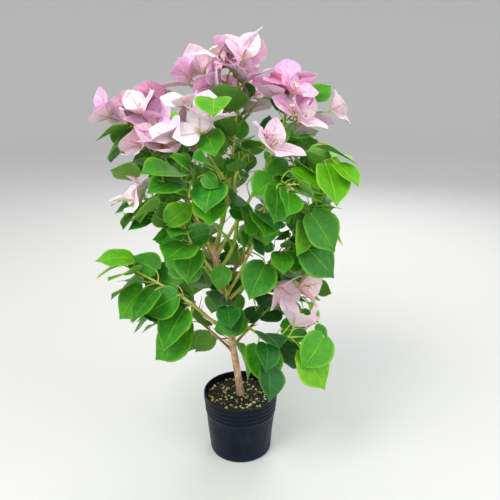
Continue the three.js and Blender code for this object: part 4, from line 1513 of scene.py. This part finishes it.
def set_rows(blade, rows):
    """Moves each row of a two by two grid: rows hold place, half width and how far the edge is pushed."""
    form = bmesh.from_edit_mesh(blade.data)
    form.verts.ensure_lookup_table()

    def choose(numbers):
        for vert in form.verts:
            vert.select_set(vert.index in numbers)
        form.select_flush_mode()
        bmesh.update_edit_mesh(blade.data)

    steps = len(rows) - 1
    for r, (place, half, push) in enumerate(rows):
        row = [r * (BLADE_COLUMNS + 1) + c for c in range(BLADE_COLUMNS + 1)]
        level = -1 + 2 * r / steps
        choose(row)
        bpy.ops.transform.resize(value=(half, 1, 1), center_override=(0, level, 0))
        bpy.ops.transform.translate(value=(0, place - level, 0))
        choose([row[0], row[-1]])
        bpy.ops.transform.translate(value=(0, push, 0))
        choose([row[1], row[-2]])
        bpy.ops.transform.translate(value=(0, push * INNER_PUSH, 0))


def model_blade(rows, thickness):
    """A blade in the XY plane, one long, with its foot at the origin and its upper side towards +Z."""
    select_none()
    bpy.ops.mesh.primitive_grid_add(x_subdivisions=BLADE_COLUMNS, y_subdivisions=len(rows) - 1, size=2)
    blade = bpy.context.object
    lie = blade.data.attributes.new("lie", "FLOAT_VECTOR", "POINT")
    for vertex in blade.data.vertices:
        r = vertex.index // (BLADE_COLUMNS + 1)
        lie.data[vertex.index].vector = (vertex.co.x, rows[r][0], 0)
    bpy.ops.object.mode_set(mode="EDIT")
    bpy.ops.mesh.select_mode(type="VERT")
    set_rows(blade, rows)
    bpy.ops.object.mode_set(mode="OBJECT")
    for name in ("upper", "under"):
        blade.data.materials.append(bpy.data.materials.new(name))
    body = blade.modifiers.new("thickness", "SOLIDIFY")
    body.thickness = thickness
    body.offset = -1
    body.material_offset = 1
    bpy.ops.object.modifier_apply(modifier=body.name)
    return Template(blade)


LEAF_ROWS = [(0.0, 0.11, -0.055), (0.08, 0.31, -0.035), (0.18, 0.405, 0.0), (0.30, 0.447, 0.03),
             (0.43, 0.44, 0.05), (0.56, 0.39, 0.06), (0.69, 0.295, 0.05), (0.81, 0.17, 0.03),
             (0.91, 0.07, 0.01), (1.0, 0.008, 0.0)]
leaf_blade = model_blade(LEAF_ROWS, 0.009)
print("leaf:", len(leaf_blade.points), "points,", len(leaf_blade.faces), "faces")


# %% Lay a blade
WAVES = 9
laid = []


def lay_blade(heap, template, blade, bend, slots, tone, others=()):
    """Adds a bent copy of a blade and says so, unless it would pass through one of the others.

    Foot, axis and normal say how the blade lies, and size how long it is.
    """
    x, y, z = template.points.T
    side = np.cross(blade["axis"], blade["normal"])
    wave = bend["wave"] * np.sin(WAVES * y + bend["phase"] + np.sign(x))
    lift = (bend["fold"] + wave) * np.abs(x) - bend["sag"] * y ** 2
    turn = bend["twist"] * y
    across = x * np.cos(turn) - (lift + z) * np.sin(turn)
    up = (lift + z) * np.cos(turn) + x * np.sin(turn)
    along = y * (1 - 0.5 * bend["sag"] ** 2 * y * y)
    points = np.outer(along, blade["axis"]) + np.outer(across, side) + np.outer(up, blade["normal"])
    points = blade["foot"] + blade["size"] * points
    middle, tree = points.mean(0), BVHTree.FromPolygons(points.tolist(), template.faces)
    if any(np.linalg.norm(place - middle) < BLADE_NEAR and tree.overlap(other) for place, other in others):
        return False
    laid.append((middle, tree))
    lie = template.lie.copy()
    lie[:, 2] = tone
    heap.add(points, template.faces, [slots[s] for s in template.slots], lie)
    return True


# %% [markdown]
# Four greens, by age and by painted light and shade, and one duller finish for the undersides: the darker
# green is painted shade and the brighter one painted light. In each the veins are drawn from the blade's own
# lie, so that they follow the leaf however it bends: a midrib, side veins that run forward, and a
# yellow-green edge.

# %% Leaf finishes
# The body, its pale blotches, the veins and edge, and how rough the blade is.
LEAF_LOOKS = {
    # Painted shade: a darker, bluer green for leaves deep in the plant.
    "leaf_painted_shade": ((12, 82, 28), (40, 122, 24), (92, 164, 42), 0.42),
    "leaf_green": ((32, 120, 24), (88, 176, 24), (146, 212, 44), 0.42),
    # Painted light: a brighter yellow-green for leaves far out and high.
    "leaf_painted_light": ((76, 162, 6), (134, 204, 16), (180, 226, 56), 0.42),
    "leaf_young": ((140, 204, 30), (172, 220, 52), (208, 232, 100), 0.42),
    "leaf_under": ((90, 150, 52), (114, 170, 64), (158, 198, 96), 0.6),
}
PAINTED_SHADE, GREEN, PAINTED_LIT, YOUNG, UNDER = range(5)


def leaf_finish(name, *colours, rough):
    body, pale, vein = (tint(*colour) for colour in colours)
    finish = Finish(name, Specular_IOR_Level=0.36)
    across, along, tone = finish.lie(0).maths("ABSOLUTE"), finish.lie(1), finish.lie(2)
    midrib = across.rise(0.06, 0.02)
    side_veins = finish.veins(across, along, 5.5, 0.17, finish.cloud(60, 1) * 0.4)
    blotch = finish.cloud(130, 4)
    fine = finish.cloud(900, 3)
    colour = finish.blend(tone * 0.5 + blotch.rise(0.4, 0.7) * 0.3, body, pale)
    colour = finish.blend(across.rise(0.78, 1.0) * 0.45, colour, vein)
    colour = finish.blend(side_veins * 0.2, colour, vein)
    colour = finish.blend(midrib * 0.45, colour, vein)
    height = (side_veins + midrib * 1.5) * -1 + blotch * 0.5 + fine * 0.25
    bump = finish.bump(height, 0.0007, 0.6)
    return finish.give(Base_Color=colour, Roughness=rough + blotch * 0.12, Normal=bump)


leaf_finishes = [leaf_finish(name, *looks, rough=rough) for name, (*looks, rough) in LEAF_LOOKS.items()]

# %% Petioles and leaves
PETIOLE_POINTS = 6
PETIOLE_CORNERS = 6
PETIOLE_PROFILE = np.array([1.5, 1.0, 0.85, 0.85, 0.85, 0.5])
PETIOLE_BOW = 0.35
PETIOLE_SUNK = 0.04
PETIOLE_THIN = 0.55
PETIOLE_THICKENS = 0.006
YOUNG_SIZE = 22
YOUNG_SPREAD = 10
# Painted light and shade: how lit a place is taken to be, from how far out and how high it is.
DARK_REACH = 60
LIGHT_REACH = 160
DARK_LEVEL = 300
LIGHT_RISE = 700
LIGHT_CHANCE = 0.14
LIGHT_FOR_GREEN = 0.0
LIGHT_FOR_YOUNG = 0.3
LIGHT_FOR_BRIGHT = 0.4
# Fold, sag, wave and twist of a blade.
LEAF_BENDS = ((0.02, 0.3), (0.1, 0.26), (0.02, 0.1), 0.22)


def draw_bend(fold, sag, wave, twist):
    """A chance shape for a blade, within these limits."""
    return {"fold": chance.uniform(*fold), "sag": chance.uniform(*sag), "wave": chance.uniform(*wave),
            "phase": chance.uniform(0, 6), "twist": chance.normal(0, twist)}


def add_petiole(leaf, slot):
    """The stalk bows up from its twig and turns into the midrib."""
    root, foot, axis = leaf["root"], leaf["foot"], leaf["axis"]
    bend = foot - axis * span(root, foot) * PETIOLE_BOW
    points = bow((root, bend, foot + axis * PETIOLE_SUNK * leaf["size"]), PETIOLE_POINTS)
    thick = PETIOLE_THIN + PETIOLE_THICKENS * leaf["size"]
    sweep(stems, points, thick * PETIOLE_PROFILE, PETIOLE_CORNERS, slot)


def leaf_age(leaf):
    """Which green a leaf has: small ones are young, yellow-green where lit; the others get painted shade deep
    in the plant and painted light far out and high.
    """
    x, y, z = leaf["foot"]
    # Painted light and shade, from the leaf's place and a little chance; a placed leaf is never painted in
    # shade.
    light = (math.hypot(x - CROWN_MIDDLE, y) - DARK_REACH) / LIGHT_REACH + (z - DARK_LEVEL) / LIGHT_RISE
    light += chance.normal(0, LIGHT_CHANCE)
    light = max(light, leaf.get("light", light))
    if leaf["size"] < YOUNG_SIZE + YOUNG_SPREAD * chance.random():
        return YOUNG if light > LIGHT_FOR_YOUNG else GREEN
    return PAINTED_SHADE if light < LIGHT_FOR_GREEN else GREEN if light < LIGHT_FOR_BRIGHT else PAINTED_LIT


def add_leaf(leaf, others=()):
    """Bends and lays a leaf, with its petiole; says whether it found room."""
    green = leaf_age(leaf)
    bend = draw_bend(*LEAF_BENDS)
    found = lay_blade(leaves, leaf_blade, leaf, bend, (green, UNDER), chance.random(), others)
    if found:
        # Leaves painted as lit, and the young ones, get the greenest petiole.
        add_petiole(leaf, GREENEST if green in (PAINTED_LIT, YOUNG) else YELLOW)
    return found


chance = np.random.default_rng(21)
leaves = Heap()
print("large leaves:", sum(add_leaf(leaf) for mass in masses for leaf in mass.leaves))

# %% [markdown]
# ## Flowers
#
# What looks like a petal is a bract, a leaf that has turned to coloured paper. Three stand round each heart,
# and each bears one slender tube that opens as a small cream star. The bracts are a pale lilac pink, nearly
# white where they are fully open, deeper at the midrib, the edges and in the young ones, and greenish at
# their foot. They are thin and a little crumpled.

# %% Model a bract
BRACT_ROWS = [(0.0, 0.06, 0.0), (0.08, 0.17, 0.0), (0.19, 0.29, 0.01), (0.32, 0.375, 0.015),
              (0.46, 0.41, 0.02), (0.59, 0.395, 0.03), (0.71, 0.335, 0.03), (0.83, 0.23, 0.02),
              (0.93, 0.105, 0.01), (1.0, 0.012, 0.0)]
bract_blade = model_blade(BRACT_ROWS, 0.007)


# %% Bract finishes
# The body, its pale middle, the veins and the foot.
BRACT_LOOKS = {
    "bract_lilac": ((250, 190, 232), (255, 224, 246), (228, 134, 190), (226, 218, 166)),
    "bract_pale": ((252, 212, 230), (255, 238, 246), (230, 158, 190), (236, 230, 180)),
    "bract_white": ((250, 222, 234), (254, 242, 248), (226, 160, 182), (206, 200, 124)),
    "bract_rose": ((246, 166, 212), (254, 206, 234), (220, 110, 168), (214, 196, 150)),
    "bract_faded": ((238, 202, 202), (250, 228, 222), (196, 136, 126), (196, 176, 126)),
}
LILAC, PALE, WHITE, ROSE, FADED = range(5)


def bract_finish(name, *colours):
    body, pale, vein, foot = (tint(*colour) for colour in colours)
    finish = Finish(name, Subsurface_Weight=0.12, Subsurface_Scale=0.002)
    across, along, tone = finish.lie(0).maths("ABSOLUTE"), finish.lie(1), finish.lie(2)
    midrib = across.rise(0.09, 0.02) * along.rise(0.95, 0.5)
    side_veins = finish.veins(across, along, 5.2, 0.22, finish.cloud(160, 2) * 0.5)
    crumple = finish.cloud(210, 4)
    fine = finish.cloud(1100, 3)
    colour = finish.blend(tone * 0.6 + crumple.rise(0.38, 0.62) * 0.6, body, pale)
    colour = finish.blend(across.rise(0.55, 1.0) * 0.35 + along.rise(0.7, 1.0) * 0.25, colour, body)
    colour = finish.blend(side_veins * 0.45, colour, vein)
    colour = finish.blend(midrib * 0.75, colour, vein)
    colour = finish.blend(along.rise(0.24, 0.02) * 0.75, colour, foot)
    height = (side_veins + midrib * 1.6) * 0.5 + crumple * 1.4 + fine * 0.15
    bump = finish.bump(height, 0.0012, 0.6)
    return finish.give(Base_Color=colour, Roughness=0.6, Normal=bump)


flower_finishes = [bract_finish(name, *looks) for name, looks in BRACT_LOOKS.items()]

# %% [markdown]
# The true flower is a tube as long as a fingernail is wide, with a swollen foot and a five-lobed mouth. One
# is extruded from a small circle, ring by ring, and its mouth is drawn out into a star.

# %% Model a tube flower
TUBE_RINGS = [(0.055, 0.0), (0.075, 0.12), (0.08, 0.25), (0.055, 0.42), (0.06, 0.7), (0.08, 0.92), (0.1, 1.0)]
STAR_CORNERS = 10
# How far out a lobe's point and the dip between two lobes go, and how high.
LOBE = (2.7, 1.02)
DIP = (1.35, 0.98)
# The star's faces are higher than this share of the tube, and its mouth has a narrow inner edge.
STAR_FROM = 0.93
MOUTH_EDGE = 0.001
NEARLY = 0.995

tube = start_round(STAR_CORNERS, TUBE_RINGS[0][0])
extrude_rings([(radius, z / MM) for radius, z in TUBE_RINGS])
bpy.ops.mesh.inset(thickness=MOUTH_EDGE)
bpy.ops.mesh.select_all(action="DESELECT")
bpy.ops.object.mode_set(mode="OBJECT")
tube.data.materials.append(bpy.data.materials.new("tube"))
tube.data.materials.append(bpy.data.materials.new("star"))
mouth_radius, mouth_level = TUBE_RINGS[-1]
mouth = [v for v in tube.data.vertices
         if v.co.z > NEARLY * mouth_level and math.hypot(v.co.x, v.co.y) > NEARLY * mouth_radius]
for vertex in mouth:
    corner = round(math.atan2(vertex.co.y, vertex.co.x) / (2 * math.pi / STAR_CORNERS))
    reach, level = DIP if corner % 2 else LOBE
    vertex.co = (vertex.co.x * reach, vertex.co.y * reach, level)
for face in tube.data.polygons:
    face.material_index = int(face.center.z > STAR_FROM)
bpy.context.view_layer.update()
tube_flower = Template(tube)

# %% [markdown]
# The flowers come in clusters, large ones where the rule placed them and smaller ones beside them. Those at
# the front are the palest, and the low ones have faded. A bract for which the rule found little room is tried
# a little smaller and bent another way, a few times over, until it passes through no leaf.

# %% Place the flowers
TUBE_LENGTH = 15
TUBE_LEAN = 0.35
TUBE_OUT = 1.5
TUBE_UP = 1.2
OPEN_SHARE = 0.45
BUD_LENGTH = 0.75
BUD_WIDTH = 0.8
BUD_TIP = 0.2
BUD_TIP_FROM = 0.9
BRACT_SHARES = [1, 0.95, 0.85, 0.75, 0.65]
BRACT_BENDS = ((0.05, 0.35), (0.02, 0.22), (0.05, 0.16), 0.18)
HEART_RINGS = [(-1.5, 0.9), (1.0, 1.7), (HEART_LENGTH * 0.8, 1.0)]
HEART_CORNERS = 8
LOW_FLOWERS = 300
FRONT_PLACES = -30
RIGHT_PLACES = 30
# The colours in each part of the crown: the first one whose number is above a chance number is taken.
COLOUR_CHANCES = {
    "low": [(0.6, FADED), (1, PALE)],
    "front left": [(0.65, WHITE), (0.85, PALE), (1, LILAC)],
    "front right": [(0.3, WHITE), (0.85, PALE), (1, LILAC)],
    "right": [(0.3, ROSE), (0.75, LILAC), (1, PALE)],
    "elsewhere": [(0.5, LILAC), (0.9, PALE), (1, ROSE)],
}
flowers = Heap()
hearts = Heap()
laid_leaves = laid[:]
chance = np.random.default_rng(33)


def bract_colour(bloom):
    x, y, z = bloom["heart"]
    if z < LOW_FLOWERS:
        part = "low"
    elif y < FRONT_PLACES:
        part = "front left" if x < 0 else "front right"
    else:
        part = "right" if x > RIGHT_PLACES else "elsewhere"
    draw = chance.random()
    return next(colour for most, colour in COLOUR_CHANCES[part] if draw < most)


def turn_to(axis):
    """Rows are the sides and the axis of a shape that stands along the axis."""
    first = square_to(axis, vector(0.2, 1, 0.1))
    return np.array([first, np.cross(axis, first), axis])


def add_tube(bloom, bract):
    """A tube flower on a bract: open as a star, or still a closed bud."""
    is_open = chance.random() < OPEN_SHARE
    length = TUBE_LENGTH * bract["size"] / BRACT_LENGTH
    way = unit(bloom["axis"] + bract["axis"] * TUBE_LEAN)
    foot = bract["foot"] + bract["axis"] * TUBE_OUT + bract["normal"] * TUBE_UP
    shape, slots = tube_flower.points, tube_flower.slots
    if not is_open:
        thin = np.where(shape[:, 2:] > BUD_TIP_FROM, BUD_TIP, BUD_WIDTH)
        shape, slots = shape * np.hstack([thin, thin, np.ones_like(thin)]) * BUD_LENGTH, 0
    hearts.add(foot + length * shape @ turn_to(way), tube_flower.faces, slots)


def add_bloom_shapes(bloom, colour):
    """Lays the bracts, tubes and heart of a flower, and returns how many bracts found room."""
    count = 0
    for bract in bloom["bracts"]:
        others = () if bract["kept"] else laid_leaves
        for share in BRACT_SHARES:
            bend = draw_bend(*BRACT_BENDS)
            smaller = {**bract, "size": bract["size"] * share}
            if lay_blade(flowers, bract_blade, smaller, bend, (colour, colour), chance.random(), others):
                add_tube(bloom, smaller)
                count += 1
                break
    if count:
        line = np.array([bloom["heart"] + bloom["axis"] * place for place, _ in HEART_RINGS])
        sweep(hearts, line, [radius for _, radius in HEART_RINGS], HEART_CORNERS, 0)
    return count


blooms = [bloom for mass in masses for bloom in mass.flowers + mass.side_flowers]
print("bracts:", sum(add_bloom_shapes(bloom, bract_colour(bloom)) for bloom in blooms))
flowers.piece("bract_blades", "blossom", finishes=flower_finishes)


def plain_finish(name, light, dark, rough):
    finish = Finish(name)
    speckle = finish.cloud(700, 3)
    return finish.give(Base_Color=finish.blend(speckle.rise(0.35, 0.65), dark, light), Roughness=rough)


heart_finishes = [
    plain_finish("flower_tube", tint(222, 196, 150), tint(190, 140, 130), 0.5),
    plain_finish("flower_star", tint(252, 248, 226), tint(236, 226, 180), 0.5),
]
hearts.piece("tube_flowers", "blossom", finishes=heart_finishes)

# %% [markdown]
# ## Small leaves
#
# The small leaves come last and fill what is left. Two leaves may pass through each other once they are bent,
# although their flat shapes don't meet, so each small one is bent first, then compared with every blade near
# it. Where two would meet, it is tried again a little smaller and turned another way, a few times over.

# %% Place the small leaves
LEAF_SHARES = [1, 0.95, 0.9, 0.8, 0.75, 0.7, 0.65, 0.6, 0.55]
TRY_TURN = 35


def fit_leaf(leaf):
    """Lays a small leaf, at the first size and turn that passes through nothing; says whether one does."""
    for tries, share in enumerate(LEAF_SHARES):
        turn = TRY_TURN * tries * chance.uniform(-1, 1)
        normal = rolled(leaf["normal"], leaf["axis"], turn)
        if add_leaf({**leaf, "size": leaf["size"] * share, "normal": normal}, laid):
            return True
    return False


print("small leaves:", sum(fit_leaf(leaf) for mass in masses for leaf in mass.small_leaves))
leaves.piece("leaf_blades", "foliage", [row[0] for row in MASSES], leaf_finishes)
stems.piece("stems_and_twigs", "green_stem", finishes=shoot_finishes)
